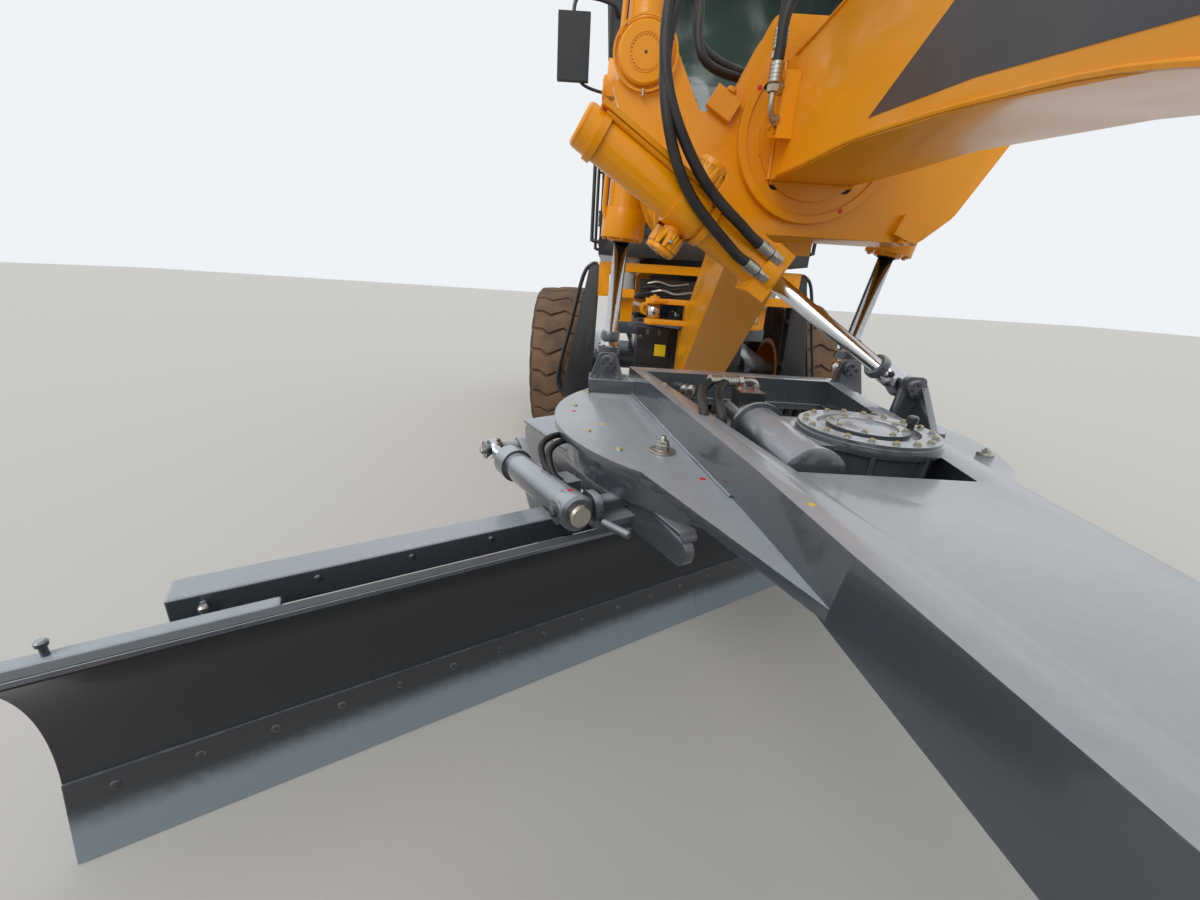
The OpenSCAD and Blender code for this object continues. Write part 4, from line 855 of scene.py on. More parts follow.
class GRADER_OT_saddle(bpy.types.Operator):
    """Pivot caps, clamp blocks, gussets and paint marks of the saddle."""
    bl_idname = "grader.saddle"
    bl_label = "Saddle fittings"

    def execute(self, context):
        caps = Stock("yellow_paint")
        for s in SIDES.values():
            at = Vector((LIFT_TOP[s].x, SADDLE_Y - 10, LIFT_TOP[s].z))
            caps.lathe([(86, 0), (86, 13), (80, 19)], at, FORE, 56)
            caps.band(50, 54, 18, 20.5, at, FORE)
            for a in ring(28):
                caps.lathe([(3, 18), (3, 21), (1.5, 22)], frame_at(at, FORE) @ polar(46, a), FORE, 8)
            caps.lathe([(5, 18), (4, 21)], at, FORE, 12, "black_paint")
            nipple(caps, at + Vector((0, -8, -96)), (0, -0.35, -1))
            caps.band(96, 103, 8, 12, at, FORE, 56)
        caps.piece("saddle_pivot_caps", "front_body", 1.5)

        body = Stock("yellow_paint")
        # Raised ring of the gooseneck's end flange
        centre, ring_in, ring_out, proud = Vector((0, SADDLE_FACE, SADDLE_Z)), 236, 262, 7
        body.band(ring_in, ring_out, 0, proud, centre, FORE, 72)
        # Clamp blocks with their screws where the saddle's halves meet
        block, screw = 34, 17
        for x, z, lean in ((-322, 1972, 30), (322, 1972, -30), (-372, 1668, 150), (372, 1640, 200)):
            turn = Matrix.Translation((x, 0, z)) @ spin(lean, "Y")
            body.box((-46, SADDLE_Y - 26, -block), (46, SADDLE_Y + 2, block), turn)
            body.bolt(turn @ Vector((0, SADDLE_Y - 12, block)), aim(turn, UP), screw, "yellow_paint")
        # Gussets between the saddle's two plates at each arm
        near, far, half_thick, slope = SADDLE_Y + 39, SADDLE_REAR - 39, 10, 32
        for s in SIDES.values():
            for x, z, tall in ((455, 1960, 60), (545, 1800, 70)):
                turn = Matrix.Translation((s * x, 0, z)) @ spin(s * slope, "Y")
                body.box((-half_thick, near, -tall), (half_thick, far, tall), turn)
        body.piece("saddle_clamps", "front_body", 4)

        marks = Stock("mark_red")
        for angle, radius in ((152, 246), (-62, 246), (200, 190)):
            flat = polar(radius, math.radians(angle))
            dot(marks, centre + Vector((flat.x, -proud if radius > ring_in else 0, flat.y)), FORE, 8)
        marks.piece("saddle_marks", "front_body")
        return {"FINISHED"}


class GRADER_OT_beam(bpy.types.Operator):
    """Stripe, manifolds, hoses, weld beads and drain slots of the gooseneck."""
    bl_idname = "grader.beam"
    bl_label = "Gooseneck fittings"

    def execute(self, context):
        hose = context.scene.grader_hardware.hose
        stripe = Stock("stripe")
        # The stripe's edges as shares of the beam's height, and the places of its four ends
        low, high = 0.11, 0.93
        front_low, front_high, rear_high, rear_low = 700, 440, 1632, 2105
        rows = [y for y, _, _ in BEAM_ROWS if front_low < y < rear_low]
        below = [rear_low] + rows[::-1] + [front_low]
        above = [front_high, 600] + [y for y in rows if y < rear_high] + [rear_high]
        outline = [(y, beam_z(y, low)) for y in below] + [(y, beam_z(y, high)) for y in above]
        for s in SIDES.values():
            stripe.prism(outline, *span(s, BEAM_HALF + 0.2, BEAM_HALF + 1.0), ACROSS)
        stripe.piece("gooseneck_stripe", "front_body")

        welds = Stock("yellow_paint")
        for s in SIDES.values():
            for share, inset in ((0.0, -7), (1.0, 7)):
                welds.tube([(s * (BEAM_HALF + 1), y, beam_z(y, share) - inset)
                            for y in range(-690, 2750, 160)], 4.5, 6, 3)
        flange = 2744
        for s in SIDES.values():
            welds.tube([(s * (BEAM_HALF + 4), flange, z) for z in (1764, 1860, 1960, 2086)], 8, 8)
        welds.tube([(x, flange, 1757) for x in (-140, -60, 60, 140)], 8, 8)
        welds.piece("gooseneck_welds", "front_body")

        fittings = Stock("yellow_paint")
        block_side = BEAM_HALF + 46
        block = [(2590, 1842), (2690, 1868), (2690, 2012), (2650, 2032), (2590, 2012)]
        for s in SIDES.values():
            fittings.prism(block, *span(s, BEAM_HALF, block_side), ACROSS)
            for y, z in ((2612, 1866), (2612, 1990), (2668, 1890), (2668, 1992)):
                fittings.bolt((s * block_side, y, z), (s, 0, 0), 9, "yellow_paint", washer=False)
        fittings.piece("gooseneck_manifolds", "front_body", 3)

        lines = Stock("zinc")
        for s in SIDES.values():
            for y, z, top, lane in ((2600, 1968, 2330, 40), (2596, 1888, 2320, 80)):
                port = Vector((s * block_side, y, z))
                lines.lathe([(17, 0), (17, 14)], port + Vector((0, 4, 0)), (s, -0.2, 0), 6)
                elbow = route(port, (0, 4, 0), (s * 18, -2, 2), (s * 30, -16, 26), (s * 32, -20, 62))
                lines.tube(elbow, 9, 12, 4)
                lines.hose(route(elbow[-1], (0, 0, 0), (0, -6, 90), (-s * 8, -12, 200)) + [
                    Vector((s * 120, y - 30, top)), Vector((s * 60, y - 60, top + 62)),
                    Vector((s * 40, y - 220, top + 20)), Vector((s * 40, y - 420, top - 150)),
                    Vector((s * lane, y - 620, beam_z(y - 620, 1) + hose))], hose, far_end=False)
        # Four lines along the beam's top, under clamps
        thin = hose * 0.72
        for x in (-75, -25, 25, 75):
            lines.tube([(x, y, beam_z(y, 1) + hose * 0.9 + 4) for y in range(-500, 2060, 160)], thin,
                       10, 3, "hose_rubber")
        for y in (-300, 300, 900, 1400, 1900):
            top = beam_z(y, 1)
            lines.box((-110, y - 18, top + 1), (110, y + 18, top + 32), finish="black_plastic")
            for x in (-95, 95):
                lines.bolt((x, y, top + 32), UP, 8)
        lines.piece("gooseneck_lines", "front_body")

        slots = Stock("seal_and_shade")
        # Drain slots where the beam's corners meet the flange: flat black patches on the flange, painted
        # shade standing in for the dark openings
        half_round, crescent = arc(0, 0, 24, 180, 360) + [(12, 6), (-12, 6)], arc(0, 0, 30, 100, 260)
        crescent += arc(22, 0, 26, 250, 110)
        for x, z, outline in ((-118, 1759, half_round), (118, 1759, half_round), (-178, 2035, crescent)):
            slots.prism(outline, 0, 1.2, Matrix.Translation((x, SADDLE_FACE - 0.4, z)) @ ALONG)
        slots.piece("gooseneck_slots", "front_body")
        return {"FINISHED"}


class GRADER_OT_swing_cylinder(bpy.types.Operator):
    """Trunnion caps, gland block, side tube, hoses and rod fittings of the swing cylinder."""
    bl_idname = "grader.swing_cylinder"
    bl_label = "Swing cylinder"

    def execute(self, context):
        hose = context.scene.grader_hardware.hose
        d = SWING_DIR
        across = Vector((-d.z, 0, d.x)).normalized()
        front = across.cross(d).normalized()
        if front.y > 0:
            front = -front
        caps = Stock("yellow_paint")
        for k in (1, -1):
            boss_cap(caps, SWING_TOP + across * k * 124, across * k, 46)
        nipple(caps, SWING_TOP + across * -104 + front * 50, front)
        caps.piece("swing_yoke_caps", "swing_yoke_body", 1.5)

        barrel = Stock("yellow_paint")
        # Clevis-side plug, gland block with its bolts and the rod's seal
        barrel.lathe([(52, -12), (58, -6), (58, 0)], SWING_TOP - d * 365, d, 40)
        gland, mouth = SWING_TOP + d * 292, SWING_TOP + d * 350
        barrel.box((-30, -82, 0), (60, 82, 70), frame_at(gland, d, front))
        barrel.circle_of_bolts(mouth, d, 60, 8, 8, "yellow_paint")
        barrel.band(31, 42, 0, 9, mouth, d, 32, "seal_and_shade")
        # Flat strip that shields the feed tube below the barrel
        strip = frame_at(SWING_TOP, d, front)
        barrel.box((18, -72, -350), (58, -58, 300), strip)
        barrel.rod(*on(strip, (44, -52, -330), (44, -52, 290)), 9, 14)
        for h in (-330, 60):
            barrel.band(61, 68, h, h + 22, SWING_TOP, d, 40)
        barrel.piece("swing_barrel_fittings", "swing_barrel_body", 2)

        hoses = Stock("zinc")
        ports = [gland + front * 60 + across * 40 + d * 20, gland + front * 60 - across * 22 + d * 16]
        back = -d
        for port in ports:
            hoses.lathe([(18, -14), (18, 8)], port, back, 6)
        for i, port in enumerate(ports):
            bend = port + back * 150 + front * 26
            hoses.hose([port + back * 10, port + back * 80 + front * 8] + route(
                bend, (0, 0, 0), (-150, -40, 120 + 16 * i), (-262 + 34 * i, -60, 300),
                (-282 + 40 * i, -40, 480), (-235 + 46 * i, 0, 640), (-130 + 50 * i, 40, 790))
                + [Vector((-60 + 60 * i, 2520, 2300))], hose, steps=8)
        joined = hoses.piece("swing_hoses", None)
        tuple(MACHINE @ (ports[1] + back * 150))
        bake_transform(joined)

        rod = Stock("slate_paint")
        rod.lathe([(40, -150), (46, -140), (46, -122), (40, -116)], SWING_EYE, d)
        rod.lathe([(44, -6), (48, 8), (40, 44), (26, 52)], SWING_EYE, d)
        for a in (0, 180):
            turn = frame_at(SWING_EYE - d * 96, d, front) @ spin(a)
            rod.bolt(turn @ Vector((42, 0, 0)), aim(turn, (1, 0, 0)), 10, "black_paint")
        rod.piece("swing_rod_end", "swing_rod_body", 1.5)
        return {"FINISHED"}


class GRADER_OT_lift_cylinders(bpy.types.Operator):
    """Glands, feed tubes, trunnion caps and rod ends of both lift cylinders."""
    bl_idname = "grader.lift_cylinders"
    bl_label = "Lift cylinders"

    def execute(self, context):
        hose = context.scene.grader_hardware.hose
        for name, s in SIDES.items():
            top, eye = LIFT_TOP[s], LIFT_EYE[s]
            d = (eye - top).normalized()
            turn = frame_at(top, d, FORE)
            barrel = Stock("yellow_paint")
            mouth = 505
            barrel.circle_of_bolts(top + d * mouth, d, 74, 8, 9, "yellow_paint")
            barrel.band(34, 50, mouth, mouth + 11, top, d, 36)
            barrel.band(30.5, 36, mouth + 11, mouth + 16, top, d, 32, "seal_and_shade")
            barrel.lathe([(60, -748), (74, -735), (74, -730)], top, d, 40)
            # Feed tube from the head block down to the gland
            x, y = 40, 88
            barrel.tube(on(turn, (x, y - 30, -690), (x, y, -660), (x, y, -400), (x, y, 0), (x, y, 330),
                           (x, y - 6, 420), (x, y - 26, 440)), 10)
            for h in (-520, 200):
                barrel.box((x - 26, y - 26, h), (x + 20, y + 16, h + 30), turn)
                barrel.bolt(turn @ Vector((x, y + 16, h + 15)), aim(turn, AFT), 8)
            barrel.box((-34, 60, -712), (34, 104, -640), turn)
            barrel.piece(f"lift_barrel_fittings_{name}", f"lift_barrel_body_{name}", 2)

            yoke = Stock("yellow_paint")
            for k in (1, -1):
                pin = Vector((k * math.cos(LIFT_LEAN[s]), 0, -k * math.sin(LIFT_LEAN[s])))
                boss_cap(yoke, top + pin * 123, pin, 48)
            yoke.piece(f"lift_yoke_caps_{name}", f"lift_yoke_body_{name}", 1.5)

            hoses = Stock()
            for i in range(2):
                start = turn @ Vector((-18 + 36 * i, 104, -676))
                hoses.hose(route(start, (0, 0, 0), (-s * 70, 20, 6), (-s * 190, 40, -90),
                                 (-s * 250, -20, -330), (-s * 270, -90, -560 - 40 * i))
                           + [Vector((s * (120 + 36 * i), SADDLE_REAR + 60, 2120))], hose, steps=8)
            joined = hoses.piece(f"lift_hoses_{name}", None)
            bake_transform(joined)

            rod = Stock("slate_paint")
            rod.lathe([(37, -132), (43, -120), (43, -96), (38, -90)], eye, d)
            rod.hoop([(38, -70), (52, -66), (52, -34), (38, -30)], eye, d, 32)
            rod.circle_of_bolts(eye - d * 66, -d, 45, 6, 6, "black_paint")
            rod.piece(f"lift_rod_end_{name}", f"lift_rod_body_{name}", 1.5)
        return {"FINISHED"}


class GRADER_OT_drawbar(bpy.types.Operator):
    """Guide-shoe bolts, weld beads, paint dabs and foot bolts of the drawbar."""
    bl_idname = "grader.drawbar"
    bl_label = "Drawbar fittings"

    def execute(self, context):
        plate, bar_top = 940.0, 1050.0
        shoes = Stock("zinc", DRAWBAR)
        for x, y, size, stud in ((-424, 1801, 21, 16), (-502, 2714, 21, 16), (502, 2714, 21, 16),
                                 (679, 1950, 13, 6)):
            shoes.lathe([(size * 1.9, 0), (size * 1.9, 7), (size * 1.75, 9)], (x, y, plate), UP, 28)
            shoes.bolt((x, y, plate + 8), UP, size, stud=stud)
            if size > 13:
                shoes.bolt((x, y, plate + 24), UP, size * 0.86, washer=False, stud=14)
        # Plugged grease holes of the guide shoes
        for x, y in ((-553, 1798), (-649, 1970), (-709, 2300), (-663, 2541), (553, 1798), (709, 2300),
                     (663, 2541)):
            shoes.lathe([(11, 0), (11, 2), (8, 5)], (x, y, plate), UP, 16)
            dot(shoes, (x, y, plate + 5), UP, 7, "mark_yellow")
        shoes.piece("drawbar_shoe_bolts", "drawbar_body", 0.8)

        welds = Stock("slate_paint", DRAWBAR)
        bead, slope = plate + 2, 0.1826
        for s in SIDES.values():
            outer = ((1500, 299), (1800, 346), (2200, 408), (2620, 474))
            welds.seam([(s * x, y, bead) for y, x in outer])
            welds.seam([(s * (193 + (y - 1410) * slope), y, bead) for y in (1440, 1800, 2200, 2540)])
        welds.seam([(x, 2556, bead) for x in (-395, -150, 150, 395)])
        welds.piece("drawbar_welds", "drawbar_body")

        marks = Stock("mark_yellow", DRAWBAR)
        for x, y, finish in ((-342, 1608, "mark_red"), (-709, 2215, "mark_red"), (690, 2234, "mark_red"),
                             (-600, 2060, "mark_yellow"), (420, 1760, "mark_yellow")):
            dot(marks, (x, y, plate), UP, 9, finish)
        for x, y in ((-235, 1250), (300, 2000), (-360, 2300)):
            dot(marks, (x, y, bar_top), UP, 7)
        marks.piece("drawbar_marks", "drawbar_body")

        foot = Stock()
        # Bolts of the eyes' pin plates, and of the feet that the lift cylinders stand on
        for eye, plate_front in ((LIFT_EYE[LEFT], -105), (LIFT_EYE[RIGHT], -105), (SWING_EYE, -119)):
            foot.circle_of_bolts(eye + Vector((0, plate_front, 0)), FORE, 19, 4, 6, "black_paint")
        for eye in LIFT_EYE.values():
            for x in (-52, 52):
                for y in (-78, 26):
                    foot.bolt(Vector((eye.x + x, eye.y + y, 1000)), UP, 13, "slate_paint")
        foot.piece("drawbar_foot_bolts", "drawbar_body", 0.8)
        return {"FINISHED"}


class GRADER_OT_circle_drive(bpy.types.Operator):
    """Cover rings, ribs, bolts, ports and hoses of the circle's drive."""
    bl_idname = "grader.circle_drive"
    bl_label = "Circle drive"

    def execute(self, context):
        hose = context.scene.grader_hardware.hose
        at, top = Vector((78, REACH - 575, 0)), 1084.0
        cover = Stock("slate_paint", DRAWBAR)
        cover.hoop([(118, top), (168, top), (168, top + 9), (122, top + 9)], at, UP, 72)
        cover.hoop([(70, top + 2), (98, top + 2), (98, top + 13), (72, top + 13)], at, UP, 60)
        for high, circle, count, first, size, dab in ((9, 150, 18, 5, 8, 4), (13, 85, 8, 12, 7, 3.5)):
            lid = at + Vector((0, 0, top + high))
            cover.circle_of_bolts(lid, UP, circle, count, size, start=first)
            for a in ring(count, math.radians(first)):
                dot(cover, lid + polar(circle, a, size), UP, dab, "mark_yellow")
        # Breather on the cover
        cover.lathe([(9, 0), (9, 12), (14, 14), (14, 30), (9, 34)], at + Vector((118, 6, top + 9)), UP,
                    12, "black_paint")
        # Ribs down the housing's side
        for a in (-112, -68, -20, 30, 80):
            cover.box((150, -5, 942), (171, 5, 1060), Matrix.Translation(at) @ spin(a))
        cover.piece("circle_drive_cover", "drawbar_body", 1.2)

        worm = Stock("slate_paint", DRAWBAR)
        base = at + Vector((-205, 0, 1010))
        worm.lathe([(76, 0), (76, 14), (62, 22)], base + FORE * 170, FORE, 36)
        worm.circle_of_bolts(base + FORE * 184, FORE, 60, 6, 7, "slate_paint")
        worm.band(60, 84, 0, 16, base + AFT * 200, AFT, 36)
        worm.circle_of_bolts(base + AFT * 216, AFT, 74, 4, 9, start=45)
        # Motor with its port block and end cap
        worm.box((-40, 300, 40), (40, 400, 92), Matrix.Translation(base), "black_paint")
        worm.lathe([(40, 0), (40, 20), (30, 26)], base + AFT * 420, AFT, 30, "black_paint")
        dot(worm, base + Vector((18, 352, 92)), UP, 14, "mark_red")
        dot(worm, base + Vector((-26, 330, 92)), UP, 8, "mark_red")
        worm.piece("circle_drive_motor", "drawbar_body", 1.5)

        hoses = Stock("zinc", DRAWBAR)
        for i, x in enumerate((-22, 22)):
            port = base + Vector((x, 350, 92))
            hoses.lathe([(14, 0), (14, 16)], port, UP, 6)
            elbow = route(port, (0, 0, 14), (-6, 0, 26), (-30, 0, 32), (-52, -4, 28))
            hoses.tube(elbow, 9, 12, 4)
            hoses.hose(route(elbow[-1], (0, 0, 0), (-50, -14, 0), (-94, -60 - 26 * i, -30),
                             (-100 + 6 * i, -150 - 20 * i, -86), (-84, -60 - 40 * i, -150), (-60, 60, -150))
                       + [Vector((-250 - 34 * i, 2380, 975)), Vector((-200 - 30 * i, 2545, 990))],
                       hose, steps=8)
        hoses.piece("circle_drive_hoses", "drawbar_body")
        return {"FINISHED"}


class GRADER_OT_circle(bpy.types.Operator):
    """Internal teeth, arm caps and pivot plates of the circle."""
    bl_idname = "grader.circle"
    bl_label = "Circle teeth and arms"

    def execute(self, context):
        teeth = Stock("steel", TABLE)
        inner, low, high, count = 611.0, 822.0, 905.0, 88
        root, tip = inner + 1, inner - 24
        for a in ring(count):
            teeth.prism([(root, -15), (root, 15), (tip, 8), (tip, -8)], low, high, Matrix.Rotation(a, 4, "Z"))
        teeth.piece("circle_teeth", "circle_body", 1.0)

        trim = Stock("slate_paint", TABLE)
        arm_x, half, thick = 650, 27, 11
        # Cap welded along each arm's top edge, down over its nose
        spine = [(-384, 772), (-372, 790), (-205, 803.5), (150, 803.5), (520, 803.5), (700, 803.5)]
        for s in SIDES.values():
            x = s * arm_x
            flat = ((x - half, 0), (x + half, 0), (x + half, thick), (x - half, thick))
            for ends in zip(spine, spine[1:]):
                trim.skin([[Vector((across, y, z + up)) for across, up in flat] for y, z in ends])
            # Keeper plate over the tilt frame's pivot
            trim.lathe([(58, 0), (58, 6), (52, 9)], (x + s * 16, 330, 300), (s, 0, 0), 40)
        trim.piece("circle_arm_caps", "circle_body", 3)
        return {"FINISHED"}


class GRADER_OT_tip_cylinder(bpy.types.Operator):
    """End plug, lock valve, hoses and pins of the blade's pitch cylinder."""
    bl_idname = "grader.tip_cylinder"
    bl_label = "Blade pitch cylinder"

    def execute(self, context):
        d = (TIP_REAR - TIP_FRONT).normalized()
        turn = frame_at(TIP_FRONT, d, UP)
        barrel = Stock("slate_paint", TABLE)
        barrel.lathe([(27, -66), (34, -60), (34, -44)], TIP_FRONT, d, 28, "zinc")
        barrel.lathe([(44, -46), (54, -38), (54, 30), (50, 36)], TIP_FRONT, d, 36)
        barrel.band(50, 60, 420, 500, TIP_FRONT, d, 36)
        barrel.band(25, 32, 500, 508, TIP_FRONT, d, 28, "seal_and_shade")
        # Lock valve on the barrel's outer side with two tubes to the ends
        ports, valve_side = (140, 184), 92
        barrel.box((-30, 44, 110), (34, valve_side, 210), turn)
        barrel.tube(on(turn, (0, 66, 110), (0, 70, 80), (0, 60, 50), (0, 44, 40)), 8, 10)
        barrel.tube(on(turn, (0, 66, 210), (0, 72, 260), (0, 72, 380), (0, 64, 440), (0, 50, 455)), 8, 10)
        for h in ports:
            barrel.lathe([(12, 0), (12, 16)], turn @ Vector((16, valve_side, h)), aim(turn, AFT), 6, "zinc")
        dot(barrel, turn @ Vector((54, 0, 8)), aim(turn, (1, 0, 0)), 9, "mark_red")
        barrel.piece("tip_barrel_fittings", "tip_barrel_body", 1.5)

        hoses = Stock(place=TABLE)
        for i, h in enumerate(ports):
            hoses.hose(route(turn @ Vector((16, valve_side + 16, h)), (0, 0, 0), (-46, 0, 0), (-84, 30, 30),
                             (-70, 90 + 20 * i, 88), (20, 130 + 22 * i, 100), (110, 130 + 22 * i, 50),
                             (190, 120 + 22 * i, 32), (262, 110 + 22 * i, 24)), 11, steps=8)
        hoses.piece("tip_hoses", "tip_barrel_body")

        outward, washer = Vector((-1, 0, 0)), [(36, 0), (36, 8)]
        for name, body, at, gap, size, finish in (
                ("tip_rear_pin", "tilt_body", TIP_REAR, 35, 16, "zinc"),
                ("tip_front_pin", "circle_body", TIP_FRONT, 45, 14, "black_paint")):
            pin = Stock("slate_paint", TABLE)
            pin.lathe(washer, at + outward * gap, outward, 28)
            pin.bolt(at + outward * (gap + 8), outward, size, finish)
            if at is TIP_FRONT:
                # Stop on the arm, ahead of the cylinder
                pin.rod(at + Vector((70, -60, -30)), at + Vector((104, -150, -36)), 12, 16, 3)
            pin.piece(name, body, 1)
        return {"FINISHED"}


class GRADER_OT_blade(bpy.types.Operator):
    """Moldboard with its slide rails, cutting-edge plates, bolts, lip strip and stops."""
    bl_idname = "grader.blade"
    bl_label = "Blade"

    def execute(self, context):
        half = BLADE_LEN / 2
        chord = BLADE_LIP - EDGE_TOP
        rise = math.sqrt(BLADE_RADIUS ** 2 - (chord.length / 2) ** 2)
        centre = (EDGE_TOP + BLADE_LIP) / 2 + Vector((-chord.y, chord.x)).normalized() * rise
        start, end = (math.degrees(math.atan2(p.y - centre.y, p.x - centre.x))
                      for p in (EDGE_TOP, BLADE_LIP))
        front, back = (arc(*centre, radius, start, end, 24)
                       for radius in (BLADE_RADIUS, BLADE_RADIUS + BLADE_PLATE))
        board = Stock("blade_paint", BLADE)
        board.prism(front + back[::-1], -half, half, ACROSS)
        edge = [EDGE_FOOT, EDGE_TOP, EDGE_TOP + EDGE_PLATE, EDGE_FOOT + EDGE_PLATE]
        board.prism(edge, -half, half, ACROSS)
        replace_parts(board.piece("moldboard_plate", "blade_body", 2), "moldboard")

        rails = Stock("slate_paint", BLADE)
        for (y0, z0), (y1, z1) in BLADE_RAILS:
            rails.box((-half + RAIL_END, y0, z0), (half - RAIL_END, y1, z1))
        # Upright ribs between the plate's back and the rails
        rib = [(y - 3, z) for y, z in back if 205 < z < 560]
        rib += [(235, 541), (252, 400), (252, 320), (225, 215)]
        for x in (-half + 350, half - 390):
            rails.prism(rib, x, x + 40, ACROSS)
        for s in SIDES.values():
            near, far = span(s, half - 500, half)
            rails.box((near, 20, 592), (far, 64, 618))
            # Black strip in the gap between the lip and the bar: painted shade of the gap
            rails.box((near, -1, 584), (far, 21, 600), finish="seal_and_shade")
        # Shift rod
        rails.rod((-BLADE_SHIFT - 325, 212, 370), (half - 360, 212, 370), 20, 40)
        rails.piece("moldboard_rails", "blade_body", 9, 3)

        run = (EDGE_TOP - EDGE_FOOT).normalized()
        out = Vector((-run.y, run.x))
        plates = Stock("edge_wear_shade_and_reflection", BLADE)
        # Two long cutting edges lie over the solid foot
        section = [EDGE_FOOT + out * 0.2, EDGE_TOP + out * 0.2, EDGE_TOP + out * 6, EDGE_FOOT + out * 3.5]
        for a, b in ((-half + 1, -0.8), (0.8, half - 1)):
            plates.prism(section, a, b, ACROSS)
        plates.piece("cutting_edges", "blade_body", 1.2)

        bolts = Stock("slate_paint", BLADE)
        row = EDGE_FOOT + run * 165 + out * 5.6
        count, margin = 24, 90
        for i in range(count):
            x = -half + margin + i * (BLADE_LEN - 2 * margin) / (count - 1)
            bolts.lathe([(11, 0), (10, 1.4), (6, 2)], (x, *row), (0, *out), 18, "edge_wear_shade_and_reflection")
            bolts.bolt((x, 142, 170), (0, 1, 0.1), 14, stud=12)
        # Small screws of the upper rail's wear strip
        for i in range(14):
            bolts.lathe([(8, 0), (8, 4), (5, 6)], (-1656 + 243 * i, 135, 600), FORE, 14)
        # Stops in front of the rail and on the lip
        for x, y, z, finish in ((-1653, 112, 570, "zinc"), (-1893, 44, 617, "slate_paint")):
            bolts.lathe([(7, -20), (7, 24), (11, 25), (12, 34), (8, 39)], (x, y, z), UP, 18, finish)
        bolts.piece("blade_bolts", "blade_body", 0.6)

        lip = Stock("slate_paint", BLADE)
        lip.prism([(-24, 608), (-20.5, 619), (6, 619), (6, 612), (-10, 604)], -half + 2, half - 2, ACROSS)
        lip.piece("blade_lip", "blade_body", 1.5)
        return {"FINISHED"}


class GRADER_OT_wheels(bpy.types.Operator):
    """Wheel nuts, hub covers, valves, lock rings and sidewall rings of the six wheels."""
    bl_idname = "grader.wheels"
    bl_label = "Wheels"

    @staticmethod
    def dress(name, at, axis):
        """The small parts of one wheel, whose outer side looks along the axis."""
        body, turn = f"wheel_{name}", frame_at(at, axis)
        hub = Stock("yellow_paint")
        for a in ring(10, math.radians(18)):
            spot = turn @ polar(192, a, 72)
            hub.lathe([(27, 0), (27, 7), (24, 10)], spot, axis, 20)
            hub.bolt(spot + axis * 8, axis, 17, "yellow_paint", washer=False, stud=16)
        hub.band(40, 53, 143, 149, at, axis, 40)
        hub.lathe([(20, 143), (20, 152), (16, 156)], at, axis, 6, "steel")
        hub.circle_of_bolts(at + axis * 119, axis, 90, 8, 9, "yellow_paint")
        hub.hoop([(303, 190), (322, 190), (322, 197), (318, 200), (303, 198)], at, axis, 96)
        hub.piece(f"wheel_hub_{name}", body, 1)

        valve = Stock("black_plastic")
        stem = on(turn, (268, 0, 50), (266, 0, 78), (255, 0, 104), (240, 0, 120))
        valve.tube(stem, 5, 10, finish="steel")
        valve.lathe([(8, 0), (8, 16), (6, 20)], stem[-1], stem[-1] - stem[-2], 12)
        valve.piece(f"wheel_valve_{name}", body)

        wall = Stock("tyre")
        for out in (axis, -axis):
            # Bead rim, two ribs on the wall and the scuff rib below the shoulder
            for r, h, w, proud in ((360, 180.5, 8, 5), (392, 192.5, 4, 3), (486, 222, 6, 3),
                                   (540, 222, 9, 5)):
                crest = [(r + w * 0.6, h + proud), (r - w * 0.6, h + proud)]
                wall.hoop([(r - w, h - 4), (r + w, h - 4)] + crest, at, out, 96)
            # Buttresses below each lug
            for a in ring(24, math.radians(7.5)):
                lug = frame_at(at, out) @ Matrix.Rotation(a, 4, "Z")
                foot = on(lug, (596, -44, 214), (596, 44, 214), (640, 50, 205), (640, -50, 205))
                top = on(lug, (572, -20, 224.5), (572, 20, 224.5), (640, 44, 212.5), (640, -44, 212.5))
                wall.skin([foot, top])
        wall.piece(f"tyre_wall_{name}", body, 1.5)

    def execute(self, context):
        for row, y in (("front", 0.0), ("middle", MIDDLE_Y), ("rear", REAR_Y)):
            for side, s in SIDES.items():
                self.dress(f"{row}_{side}", Vector((s * WHEEL_X, y, WHEEL_Z)), Vector((s, 0, 0)))
        return {"FINISHED"}


